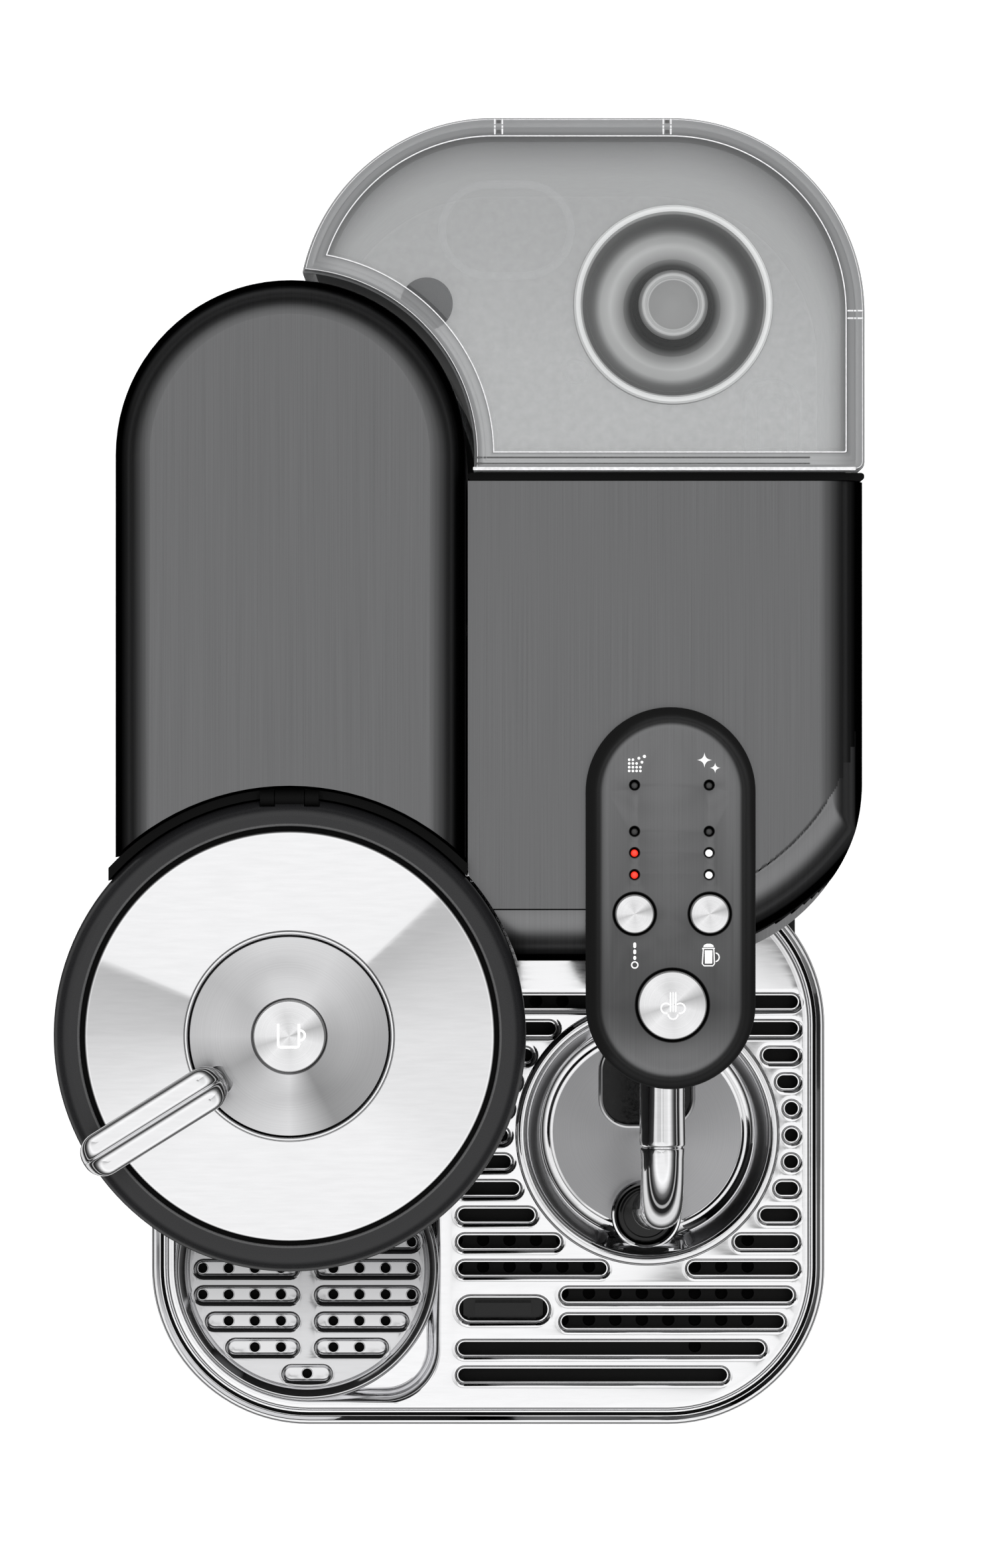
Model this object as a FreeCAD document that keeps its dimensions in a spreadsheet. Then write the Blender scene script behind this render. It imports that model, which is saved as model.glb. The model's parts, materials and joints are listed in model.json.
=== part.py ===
import FreeCAD, Part
import math
import os
import Sketcher
from types import SimpleNamespace
from FreeCAD import Rotation, Vector

# A free-standing pod coffee machine. Millimetres, +Z up, front towards -Y.
# The origin is the middle of the footprint, on the surface that the feet stand on.

SIZES = {
    # feet and base
    "foot_radius": 9, "foot_height": 4, "base_top": 12, "tongue_top": 8, "shell_bottom": 12.3,
    # column: a tall cover with a round back and a hollow front that takes the head
    "column_x": -51.8, "column_half": 53.6, "column_arc_y": 107, "column_top": 300,
    "column_round": 11, "front_arc_radius": 76.2, "collar_outer": 75.3, "collar_inner": 72.7,
    "collar_top": 297, "collar_end_y": -24, "collar_beside": 1.8,
    # body: the broad cover beside the column
    "body_left": 2.4, "body_right": 123.8, "body_front": -48, "body_back": 99.2,
    "body_top": 288, "body_corner": 56.2, "body_round": 12, "tray_recess_y": -20,
    "tray_recess_top": 52, "wall": 2,
    # brew head
    "head_x": -51.9, "head_y": -70.3, "head_radius": 72.1, "head_bottom": 262.2, "head_top": 300,
    "plate_radius": 62.6, "plate_edge_top": 299.8, "plate_top": 302.8, "deck_top": 294,
    "deck_bottom": 288, "disc_radius": 30.4, "disc_top": 303.2, "button_radius": 11,
    "lever_radius": 6.9, "lever_inner": 29.6, "lever_outer": 66.1, "lever_z": 311.2,
    "hinge_y": 2.2, "hinge_z": 298, "pin_radius": 1.2, "knuckle_radius": 2.4, "knuckle_half": 4.4,
    "knuckle_gap": 0.3, "ear_width": 4.2, "head_clearance": 73,
    # brew works under the head
    "cradle_radius": 68, "cradle_bottom": 206, "cradle_top": 261, "neck_y": -54,
    "neck_radius": 52, "neck_bottom": 174, "holder_radius": 34, "holder_top": 259,
    "shaft_radius": 8, "pulley_radius": 15, "belt_bottom": 189, "belt_top": 197,
    "motor_y": 62, "motor_radius": 24, "shelf_top": 203,
    # control arm
    "arm_x": 64.45, "arm_half": 26, "arm_front": -87, "arm_back": 29.9, "arm_bottom": 288.6,
    "arm_top": 298, "small_button": 5.9, "small_button_y": -33.2, "small_left_x": 53.3,
    "small_right_x": 76.2, "steam_button_x": 64.8, "steam_button_y": -61, "steam_button": 10.3,
    "button_bottom": 294.2, "button_top": 299.4, "light_radius": 1.25, "light_left_x": 53.25,
    "light_right_x": 76,
    # steam wand
    "wand_x": 63, "wand_radius": 6.7, "wand_y": -58, "wand_z": 243, "wand_knee_y": -126,
    "wand_tip_y": -134, "wand_tip_z": 112, "wand_bend": 18, "wand_hub": 9,
    # water tank
    "tank_left": -49.6, "tank_right": 124, "tank_front": 102, "tank_back": 210.5,
    "tank_corner": 59.7, "tank_bottom": 14, "tank_top": 284, "tank_wall": 2.5,
    "tank_gap_radius": 56.2, "lid_bottom": 284.3, "lid_top": 292, "lid_rim": 6,
    "bowl_x": 65.3, "bowl_y": 153.2, "bowl_radius": 29.8, "bowl_bottom": 268, "valve_x": -12.7,
    "valve_y": 171,
    # drip tray and what stands in it
    "tray_left": -105.5, "tray_right": 122.4, "tray_front": -210.5, "tray_back": -22,
    "tray_corner": 53.1, "tray_bottom": 8.4, "tray_top": 48.5, "tray_rim": 3.5,
    "tray_floor": 10.8, "ledge_top": 38, "grille_gap": 4.8, "grille_bottom": 38.3,
    "grille_top": 49, "grille_sheet": 3, "grille_skirt": 2.1, "slot_pitch": 9.03, "slot_height": 5,
    "first_slot_y": -67.4, "slot_right": 113.7, "slot_left": -2, "pocket_right": -7.5,
    "pocket_floor": 41.5, "nest_x": 62.4, "nest_y": -111.9, "nest_keep": 47,
    "nest_floor_radius": 32.8, "nest_floor": 39, "nest_top": 50.4, "sensor_x": 62.1,
    "sensor_y": -139.8, "sensor_radius": 9.7, "cup_x": -52.8, "cup_y": -157.4,
    "cup_radius": 44.6, "cup_bottom": 41.8, "cup_top": 54, "pill_pitch": 8.9,
    # used-capsule container
    "bin_bottom": 58, "bin_top": 172, "bin_back": -22, "bin_wall": 2.2,
}


class Size:
    """A length together with the expression on the sheet's cells that gives it."""

    def __init__(self, number, text=None):
        self.number = float(number)
        self.text = text or f"({float(number)!r})"

    def join(self, other, sign, number):
        other = other if isinstance(other, Size) else Size(other)
        return Size(number(self.number, other.number), f"({self.text} {sign} {other.text})")

    def __add__(self, other):
        return self.join(other, "+", lambda a, b: a + b)

    def __sub__(self, other):
        return self.join(other, "-", lambda a, b: a - b)

    def __mul__(self, other):
        return self.join(other, "*", lambda a, b: a * b)

    def __neg__(self):
        return self * -1


def size(number):
    return number if isinstance(number, Size) else Size(number)


doc = FreeCAD.newDocument("pod_coffee_machine")
sheet = doc.addObject("Spreadsheet::Sheet", "Sizes")
for row, (name, number) in enumerate(SIZES.items(), 1):
    sheet.set(f"A{row}", name)
    sheet.set(f"B{row}", str(number))
    sheet.setAlias(f"B{row}", name)
doc.recompute()
s = SimpleNamespace(**{name: Size(number, f"Sizes.{name}") for name, number in SIZES.items()})

finished = []  # the objects that are sub-parts


def keep(label, thing):
    thing.Label = label
    finished.append(thing)
    return thing


def bind(thing, **sizes):
    """Bind properties, such as Length or Placement__Base__x, to sizes."""
    for name, number in sizes.items():
        thing.setExpression(name.replace("__", "."), size(number).text)


def put(thing, x=0, y=0, z=0):
    bind(thing, Placement__Base__x=x, Placement__Base__y=y, Placement__Base__z=z)
    return thing


# ---- sketches and PartDesign bodies


def sketch_on(body, role, height=0):
    plane = next(o for o in body.Origin.OriginFeatures if o.Role == role)
    sketch = body.newObject("Sketcher::SketchObject", "Outline")
    sketch.AttachmentSupport = [(plane, "")]
    sketch.MapMode = "FlatFace"
    bind(sketch, AttachmentOffset__Base__z=height)
    return sketch


def outline(sketch, corners):
    """A closed outline of straight runs: each corner is (x, y) or (x, y, rounding)."""
    corners = [[size(n) for n in (*corner, 0)[:3]] for corner in corners]
    points = [Vector(x.number, y.number, 0) for x, y, _ in corners]
    lines, arcs, constraints, bound = [], [], [], []
    starts, ends = [], []
    for at, (_, _, radius) in enumerate(corners):
        before = (points[at - 1] - points[at]).normalize()
        after = (points[(at + 1) % len(points)] - points[at]).normalize()
        half = before.getAngle(after) / 2
        run = radius.number / math.tan(half) if radius.number else 0
        ends.append(points[at] + before * run)
        starts.append(points[at] + after * run)
        arcs.append((half, before, after))
    count = len(corners)
    for at in range(count):
        lines.append(Part.LineSegment(starts[at], ends[(at + 1) % count]))
    sketch.addGeometry(lines, False)
    for at, (x, y, radius) in enumerate(corners):
        line, previous = at, (at - 1) % count
        if not radius.number:
            constraints.append(Sketcher.Constraint("Coincident", previous, 2, line, 1))
            fixed, place = line, 1
        else:
            half, before, after = arcs[at]
            middle = points[at] + (before + after).normalize() * (radius.number / math.sin(half))
            entry, leave = ends[at] - middle, starts[at] - middle
            turn = entry.x * leave.y - entry.y * leave.x
            first, last = (entry, leave) if turn > 0 else (leave, entry)
            low = math.atan2(first.y, first.x)
            high = math.atan2(last.y, last.x)
            circle = Part.Circle(middle, Vector(0, 0, 1), radius.number)
            arc = sketch.addGeometry(Part.ArcOfCircle(circle, low, high), False)
            fixed = sketch.addGeometry(Part.Point(points[at]), True)
            place = 1
            near, far = (1, 2) if turn > 0 else (2, 1)
            constraints.append(Sketcher.Constraint("Tangent", previous, 2, arc, near))
            constraints.append(Sketcher.Constraint("Tangent", line, 1, arc, far))
            constraints.append(Sketcher.Constraint("PointOnObject", fixed, 1, previous))
            constraints.append(Sketcher.Constraint("PointOnObject", fixed, 1, line))
            bound.append((len(constraints), radius))
            constraints.append(Sketcher.Constraint("Radius", arc, radius.number))
        bound.append((len(constraints), x))
        constraints.append(Sketcher.Constraint("DistanceX", fixed, place, x.number))
        bound.append((len(constraints), y))
        constraints.append(Sketcher.Constraint("DistanceY", fixed, place, y.number))
    sketch.addConstraint(constraints)
    for index, number in bound:
        sketch.setExpression(f"Constraints[{index}]", number.text)


def circle(sketch, x, y, radius):
    x, y, radius = size(x), size(y), size(radius)
    at = sketch.addGeometry(
        Part.Circle(Vector(x.number, y.number, 0), Vector(0, 0, 1), radius.number), False
    )
    first = sketch.addConstraint([
        Sketcher.Constraint("DistanceX", at, 3, x.number),
        Sketcher.Constraint("DistanceY", at, 3, y.number),
        Sketcher.Constraint("Radius", at, radius.number),
    ])[0]
    for index, number in enumerate((x, y, radius), first):
        sketch.setExpression(f"Constraints[{index}]", number.text)


def draw(body, height, shape):
    """A level sketch: shape is a list of corners, or one circle as (x, y, radius)."""
    sketch = sketch_on(body, "XY_Plane", height)
    if isinstance(shape, tuple):
        circle(sketch, *shape)
    else:
        outline(sketch, shape)
    return sketch


def new_body(label):
    return keep(label, doc.addObject("PartDesign::Body", label))


def pad(body, shape, low, high):
    feature = body.newObject("PartDesign::Pad", "Pad")
    feature.Profile = draw(body, low, shape)
    bind(feature, Length=size(high) - low)
    return feature


def pocket(body, shape, low, high):
    """Cut from high down to low, and stop if nothing was cut."""
    doc.recompute()
    before = body.Shape.Volume
    feature = body.newObject("PartDesign::Pocket", "Pocket")
    feature.Profile = draw(body, high, shape)
    bind(feature, Length=size(high) - low)
    doc.recompute()
    if not body.Shape.Volume < before - 0.1:
        raise RuntimeError(f"a pocket of {body.Label} cuts nothing")
    return feature


def turned(label, x, y, profile):
    """A body turned about an upright axis at x, y: the profile's corners are (radius, z)."""
    body = new_body(label)
    sketch = sketch_on(body, "XZ_Plane")
    outline(sketch, profile)
    feature = body.newObject("PartDesign::Revolution", "Turn")
    feature.Profile = sketch
    feature.ReferenceAxis = (sketch, ["V_Axis"])
    feature.Angle = 360
    return put(body, x, y)


def round_edges(body, radius, test):
    """Round the edges of the body whose bounding box passes the test."""
    doc.recompute()
    base = body.Tip
    names = [f"Edge{n}" for n, e in enumerate(base.Shape.Edges, 1) if test(e.BoundBox)]
    feature = body.newObject("PartDesign::Fillet", "Rounding")
    feature.Base = (base, names)
    bind(feature, Radius=radius)
    return feature


def box_outline(left, front, right, back, radius=0):
    return [(left, front, radius), (right, front, radius), (right, back, radius), (left, back, radius)]


# ---- Part primitives and booleans


def cylinder(radius, low, high, x=0, y=0):
    thing = doc.addObject("Part::Cylinder", "Cylinder")
    bind(thing, Radius=radius, Height=size(high) - low)
    return put(thing, x, y, low)


def rod(radius, start, length, turn):
    """A level cylinder from the point start: turn is the rotation that lays it down."""
    thing = doc.addObject("Part::Cylinder", "Rod")
    thing.Placement.Rotation = turn
    bind(thing, Radius=radius, Height=length)
    return put(thing, *start)


ALONG_X = Rotation(Vector(0, 1, 0), 90)
ALONG_Y = Rotation(Vector(1, 0, 0), -90)


def block(left, right, front, back, low, high):
    thing = doc.addObject("Part::Box", "Block")
    bind(thing, Length=size(right) - left, Width=size(back) - front, Height=size(high) - low)
    return put(thing, left, front, low)


def joined(*things):
    thing = doc.addObject("Part::MultiFuse", "Join")
    thing.Shapes = list(things)
    return thing


def less(base, *tools):
    thing = doc.addObject("Part::Cut", "Cut")
    thing.Base = base
    thing.Tool = tools[0] if len(tools) == 1 else joined(*tools)
    return thing


def group(*things):
    thing = doc.addObject("Part::Compound", "Group")
    thing.Links = list(things)
    return thing


def ring(outer, inner, low, high, x=0, y=0):
    return less(cylinder(outer, low, high, x, y), cylinder(inner, size(low) - 1, size(high) + 1, x, y))


def tube(label, points, radius, bend, bore=0):
    """A round tube along straight runs with a tangent arc at each turn."""
    points = [Vector(*point) for point in points]
    edges, last = [], points[0]
    for before, here, after in zip(points, points[1:], points[2:]):
        back, on = (before - here).normalize(), (after - here).normalize()
        half = back.getAngle(on) / 2
        run = bend / math.tan(half)
        middle = here + (back + on).normalize() * (bend / math.sin(half) - bend)
        edges.append(Part.LineSegment(last, here + back * run).toShape())
        edges.append(Part.Arc(here + back * run, middle, here + on * run).toShape())
        last = here + on * run
    edges.append(Part.LineSegment(last, points[-1]).toShape())
    path = Part.Wire(edges)

    def swept(across):
        start = Part.Circle(points[0], points[1] - points[0], across).toShape()
        return path.makePipeShell([Part.Wire([start])], True, False)

    shape = swept(radius)
    if bore:
        shape = shape.cut(swept(bore))
    feature = doc.addObject("Part::Feature", label)
    feature.Shape = shape
    feature.Placement = FreeCAD.Placement()
    return feature


def coil(label, radius, wire, low, high, turns, x, y):
    """A round-wire compression spring on an upright axis."""
    rise = high - low - 2 * wire
    helix = Part.makeLongHelix(rise / turns, rise, radius)
    start = Part.Circle(Vector(radius, 0, 0), Vector(0, 1, 0), wire).toShape()
    feature = doc.addObject("Part::Feature", label)
    feature.Shape = Part.Wire(helix.Edges).makePipeShell([Part.Wire([start])], True, True)
    feature.Placement = FreeCAD.Placement(Vector(x, y, low + wire), Rotation())
    return keep(label, feature)


# ---- base


def make_base():
    body = new_body("base_plate")
    pad(body, [(-104, -19.6, 4), (121.6, -19.6, 27), (121.6, 100), (-104, 100)],
        s.foot_height, s.base_top)
    pad(body, [(-104, 60), (0.6, 60), (0.6, 159.4, 52), (-104, 159.4, 52)], s.foot_height, s.base_top)
    pad(body, [(-48, 90), (122.4, 90), (122.4, 209, 58), (-48, 209, 58)], s.foot_height, s.base_top)
    pad(body, [(-97, -202, 44), (114, -202, 44), (114, -19), (-97, -19)], s.foot_height, s.tongue_top)
    for left, right in ((-101, -2.5), (5.5, 106)):
        pad(body, box_outline(left, -19.6, right, -17.4, 1), s.base_top - 1, 50)
    for x, y in SCREW_PLACES:
        pocket(body, (x, y, 2.1), s.foot_height, s.base_top)
        pocket(body, (x, y, 4.2), s.foot_height, s.foot_height + 3)
    feet = [
        cylinder(s.foot_radius, 0, s.foot_height, x, y)
        for x, y in ((-68, -175), (86, -175), (-72, 120), (96, 180), (15, 20))
    ]
    keep("feet", group(*feet))
    reaches = [s.base_top + 3] * 4 + [s.base_top - 0.5] * 2
    screws = [
        joined(cylinder(4, s.foot_height + 0.4, s.foot_height + 3, x, y),
               cylinder(1.9, s.foot_height + 2, reach, x, y))
        for (x, y), reach in zip(SCREW_PLACES, reaches)
    ]
    keep("base_screws", group(*screws))
    legs = [block(x, x + 22, 9, 75, s.base_top, s.base_top + 3.5) for x in (-100, -26)]
    walls = [block(x, x + 3, 9, 75, s.base_top, s.shelf_top) for x in (-100, -7)]
    shelf = block(-100, -4, 4, 92, s.shelf_top - 3, s.shelf_top)
    holes = [cylinder(2, 0, 40, x, y) for x, y in SCREW_PLACES[:4]]
    shaft_hole = cylinder(9, 190, 210, s.head_x, s.motor_y)
    keep("inner_frame", less(joined(*legs, *walls, shelf), *holes, shaft_hole))


SCREW_PLACES = [(-90, 20), (-90, 62), (-14, 20), (-14, 62), (60, 150), (108, 40)]


# ---- covers


def make_column():
    left = s.column_x - s.column_half
    right = s.column_x + s.column_half
    back = s.column_arc_y + s.column_half

    def stadium(inset):
        radius = s.column_half - inset
        return [
            (left + inset, -40), (right - inset, -40),
            (right - inset, back - inset, radius), (left + inset, back - inset, radius - 0.01),
        ]

    body = new_body("column_cover")
    pad(body, stadium(0), s.shell_bottom, s.column_top)
    round_edges(body, s.column_round, lambda b: b.ZMin > 299 and b.YMax > -30)
    pocket(body, stadium(s.wall), s.shell_bottom, s.column_top - s.column_round - 1)
    pocket(body, stadium(9), s.shell_bottom, s.column_top - 2.5)
    pocket(body, (s.head_x, s.head_y, s.front_arc_radius), s.shell_bottom - 1, s.column_top + 1)
    doc.recompute()
    reach = s.knuckle_half + s.knuckle_gap * 2 + s.ear_width
    barrel = rod(s.knuckle_radius + 0.6, (s.head_x - reach, s.hinge_y, s.hinge_z), reach * 2, ALONG_X)
    gland = rod(7.1, (GLAND_X, 140, GLAND_Z), 20, ALONG_Y)
    body.Label = "column_cover_blank"
    finished.remove(body)
    keep("column_cover", less(body, barrel, gland, hose_hole()))

    band = less(
        cylinder(s.collar_outer, s.shell_bottom, s.collar_top, s.head_x, s.head_y),
        cylinder(s.collar_inner, 0, 310, s.head_x, s.head_y),
        block(-140, 40, -150, s.collar_end_y, 0, 310),
        block(s.body_left - 0.2, 40, -150, 20, 0, 310),
        block(-140, s.column_x - s.column_half - s.collar_beside, -150, 20, 0, 310),
        block(-92, -12, -30, 20, 184, 259),
    )
    # the collar's two ears take the ends of the pin, and the head's knuckle turns between them
    inner = s.knuckle_half + s.knuckle_gap
    outer = inner + s.ear_width
    ears = [
        rod(s.knuckle_radius, (s.head_x + x, s.hinge_y, s.hinge_z), s.ear_width, ALONG_X)
        for x in (-outer, inner)
    ]
    gap = rod(s.knuckle_radius + 0.5, (s.head_x - inner, s.hinge_y, s.hinge_z), inner * 2, ALONG_X)
    bore = rod(s.pin_radius, (s.head_x - outer - 1, s.hinge_y, s.hinge_z), outer * 2 + 2, ALONG_X)
    keep("head_collar", less(joined(band, *ears), gap, bore))
    keep("head_hinge_pin", rod(
        s.pin_radius, (s.head_x - outer, s.hinge_y, s.hinge_z), outer * 2, ALONG_X
    ))


# where the cord gland and the hose between the body and the column pass through the covers
GLAND_X, GLAND_Z = -75, 32
HOSE_Y, HOSE_Z = 54, 226


def hose_hole():
    return rod(4.5, (-12, HOSE_Y, HOSE_Z), 30, ALONG_X)


def make_body_shell():
    body = new_body("body_shell")

    def broad(inset):
        return [
            (s.body_left + inset, s.body_front + inset),
            (s.body_right - inset, s.body_front + inset, s.body_corner - inset),
            (s.body_right - inset, s.body_back - inset),
            (s.body_left + inset, s.body_back - inset),
        ]

    pad(body, broad(0), s.shell_bottom, s.body_top)
    round_edges(
        body, s.body_round,
        lambda b: b.ZMin > 287 and b.YMin < 50 and b.XMax > 10,
    )
    pocket(body, broad(s.wall), s.shell_bottom, s.body_top - s.body_round - 1)
    pocket(body, broad(9), s.shell_bottom, s.body_top - 3)
    pocket(body, box_outline(-5, -55, 130, s.tray_recess_y), s.shell_bottom - 1, s.tray_recess_top)
    finished.remove(body)
    body.Label = "body_shell_blank"
    # the corner beside the head is cut to a hollow arc, with a wall of its own behind it
    wall_top = s.body_top - s.body_round - 0.5
    hollow = less(
        cylinder(s.head_clearance + 2.6, s.tray_recess_top, wall_top, s.head_x, s.head_y),
        block(-140, s.body_left + 0.1, -160, 40, 0, 310), block(-140, 60, -160, s.body_front + 0.1, 0, 310),
    )
    keep("body_shell", less(
        joined(body, hollow),
        cylinder(s.head_clearance, 0, 310, s.head_x, s.head_y), hose_hole(),
    ))
    strip = new_body("back_strip")
    pad(strip, box_outline(s.body_left, s.body_back + 0.2, s.body_right, s.tank_front - 0.3, 1),
        s.shell_bottom, s.body_top - 0.5)


# ---- brew works and head


def make_brew_works():
    base = joined(
        cylinder(s.cradle_radius, s.cradle_bottom, s.cradle_top, s.head_x, s.head_y),
        cylinder(s.neck_radius, s.neck_bottom, s.cradle_bottom + 1, s.column_x, s.neck_y),
        block(-90, -14, -40, 34, s.shelf_top, s.shelf_top + 8),
    )
    keep("brew_base", less(
        base,
        cylinder(41, 222, 270, s.head_x, s.head_y),
        cylinder(10, 180, 230, s.head_x, s.head_y),
        cylinder(16, s.cradle_bottom, 217, s.head_x, s.head_y),
        block(-75, -29, -94, 40, s.belt_bottom - 3, s.belt_top + 4),
    ))
    keep("holder_bearing", ring(16, s.shaft_radius + 0.05, s.cradle_bottom, 216, s.head_x, s.head_y))
    turned("capsule_holder", s.head_x, s.head_y, [
        (0, 187), (s.shaft_radius, 187), (s.shaft_radius, 228), (s.holder_radius, 228, 3),
        (s.holder_radius, 255), (39.5, 255), (39.5, s.holder_top), (31.5, s.holder_top, 1),
        (29, 232, 3), (0, 232),
    ])
    low, high = s.belt_bottom - 1.5, s.belt_top + 1.5
    keep("holder_pulley", ring(s.pulley_radius, s.shaft_radius, low, high, s.head_x, s.head_y))
    keep("motor_pulley", joined(
        cylinder(s.pulley_radius, low, high, s.head_x, s.motor_y),
        cylinder(4, low, 228, s.head_x, s.motor_y),
    ))
    keep("drive_motor", less(
        joined(cylinder(s.motor_radius, s.shelf_top, 262, s.head_x, s.motor_y),
               cylinder(9, 262, 268, s.head_x, s.motor_y)),
        cylinder(4.06, 190, 230, s.head_x, s.motor_y),
    ))
    belt = new_body("drive_belt")

    def loop(radius):
        left, right = s.head_x - radius, s.head_x + radius
        front, back = s.head_y - radius, s.motor_y + radius
        return [(left, front, radius), (right, front, radius - 0.01), (right, back, radius),
                (left, back, radius - 0.01)]

    pad(belt, loop(s.pulley_radius + 1.7), s.belt_bottom, s.belt_top)
    pocket(belt, loop(s.pulley_radius + 0.1), s.belt_bottom, s.belt_top)
    turned("coffee_spout", s.head_x, -127, [
        (3.5, 176), (7, 176, 1), (9.5, 192), (9.5, s.cradle_bottom), (3.5, s.cradle_bottom),
    ])
    left, right = s.column_x - s.column_half + 1, s.column_x + s.column_half - 1
    front, radius = s.neck_y - s.column_half + 1, s.column_half - 1
    container = new_body("capsule_container")
    pad(container, [(left, front, radius), (right, front, radius - 0.01), (right, s.bin_back, 3),
                    (left, s.bin_back, 3)], s.bin_bottom, s.bin_top)
    wall = s.bin_wall
    pocket(container, [(left + wall, front + wall, radius - wall),
                       (right - wall, front + wall, radius - wall - 0.01),
                       (right - wall, s.bin_back - wall, 1), (left + wall, s.bin_back - wall, 1)],
           s.bin_bottom + wall, s.bin_top)


def make_head():
    housing = turned("head_housing", s.head_x, s.head_y, [
        (42, s.head_bottom), (s.head_radius, s.head_bottom, 1), (s.head_radius, s.head_top, 5),
        (s.plate_radius + 1.2, s.head_top, 0.6), (s.plate_radius + 1.2, s.deck_top),
        (5.4, s.deck_top), (5.4, s.deck_bottom), (66, s.deck_bottom), (66, s.head_bottom + 3),
        (42, s.head_bottom + 3),
    ])
    finished.remove(housing)
    housing.Label = "head_housing_blank"
    half, width = s.knuckle_half, s.ear_width + s.knuckle_gap * 2
    side_gaps = [
        rod(s.knuckle_radius + 0.5, (s.head_x + x, s.hinge_y, s.hinge_z), width, ALONG_X)
        for x in (-half - width, half)
    ]
    knuckle = rod(s.knuckle_radius, (s.head_x - half, s.hinge_y, s.hinge_z), half * 2, ALONG_X)
    bore = rod(s.pin_radius + 0.05, (s.head_x - half - 1, s.hinge_y, s.hinge_z), half * 2 + 2, ALONG_X)
    keep("head_housing", less(joined(less(housing, *side_gaps), knuckle), bore))
    turned("head_plate", s.head_x, s.head_y, [
        (32.2, s.deck_top), (s.plate_radius, s.deck_top), (s.plate_radius, s.plate_edge_top, 0.8),
        (32.2, s.plate_top),
    ])
    turned("head_trim_ring", s.head_x, s.head_y, [
        (30.8, s.deck_top), (32.1, s.deck_top), (32.1, s.disc_top + 0.6, 0.5),
        (30.8, s.disc_top + 0.6, 0.5),
    ])
    turned("lock_disc", s.head_x, s.head_y, [
        (s.button_radius + 0.4, s.deck_top + 0.4), (22, s.deck_top + 0.4), (22, s.disc_top - 2.6),
        (s.disc_radius, s.disc_top - 2.6), (s.disc_radius, s.disc_top, 0.4),
        (s.button_radius + 0.4, s.disc_top),
    ])
    turn = Rotation(Vector(0, 0, 1), LEVER_ANGLE)
    along = turn.multVec(Vector(1, 0, 0))
    start = s.lever_inner - s.lever_radius
    length = s.lever_outer + s.lever_radius - start
    bar = turned("lever_bar", 0, 0, [
        (0, 0), (s.lever_radius, 0, s.lever_radius.number - 0.01),
        (s.lever_radius, length, s.lever_radius.number - 0.01), (0, length),
    ])
    finished.remove(bar)
    bar.Placement.Rotation = turn * ALONG_X
    put(bar, s.head_x + start * along.x, s.head_y + start * along.y, s.lever_z)
    stem = s.lever_inner - 4.5
    post = cylinder(4.5, s.disc_top, s.lever_z, s.head_x + stem * along.x, s.head_y + stem * along.y)
    keep("lock_lever", joined(bar, post))
    turned("brew_button", s.head_x, s.head_y, [
        (0, s.deck_bottom + 1.5), (4.9, s.deck_bottom + 1.5), (4.9, s.deck_top + 4.4),
        (s.button_radius, s.deck_top + 4.4), (s.button_radius, s.disc_top + 0.6, 0.8), (0, s.disc_top + 0.9),
    ])
    coil("brew_button_spring", 7, 0.4, 294.05, 298.35, 4, s.head_x.number, s.head_y.number)
    turned("injector_plate", s.head_x, s.head_y, [
        (0, s.head_bottom), (38, s.head_bottom, 1), (38, 270), (12, 272, 1), (6, 272), (6, 286), (0, 286),
    ])
    keep("injector_bearing", ring(12.6, 6.05, 277, s.deck_bottom, s.head_x, s.head_y))


LEVER_ANGLE = 212


# ---- control arm and steam wand


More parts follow.
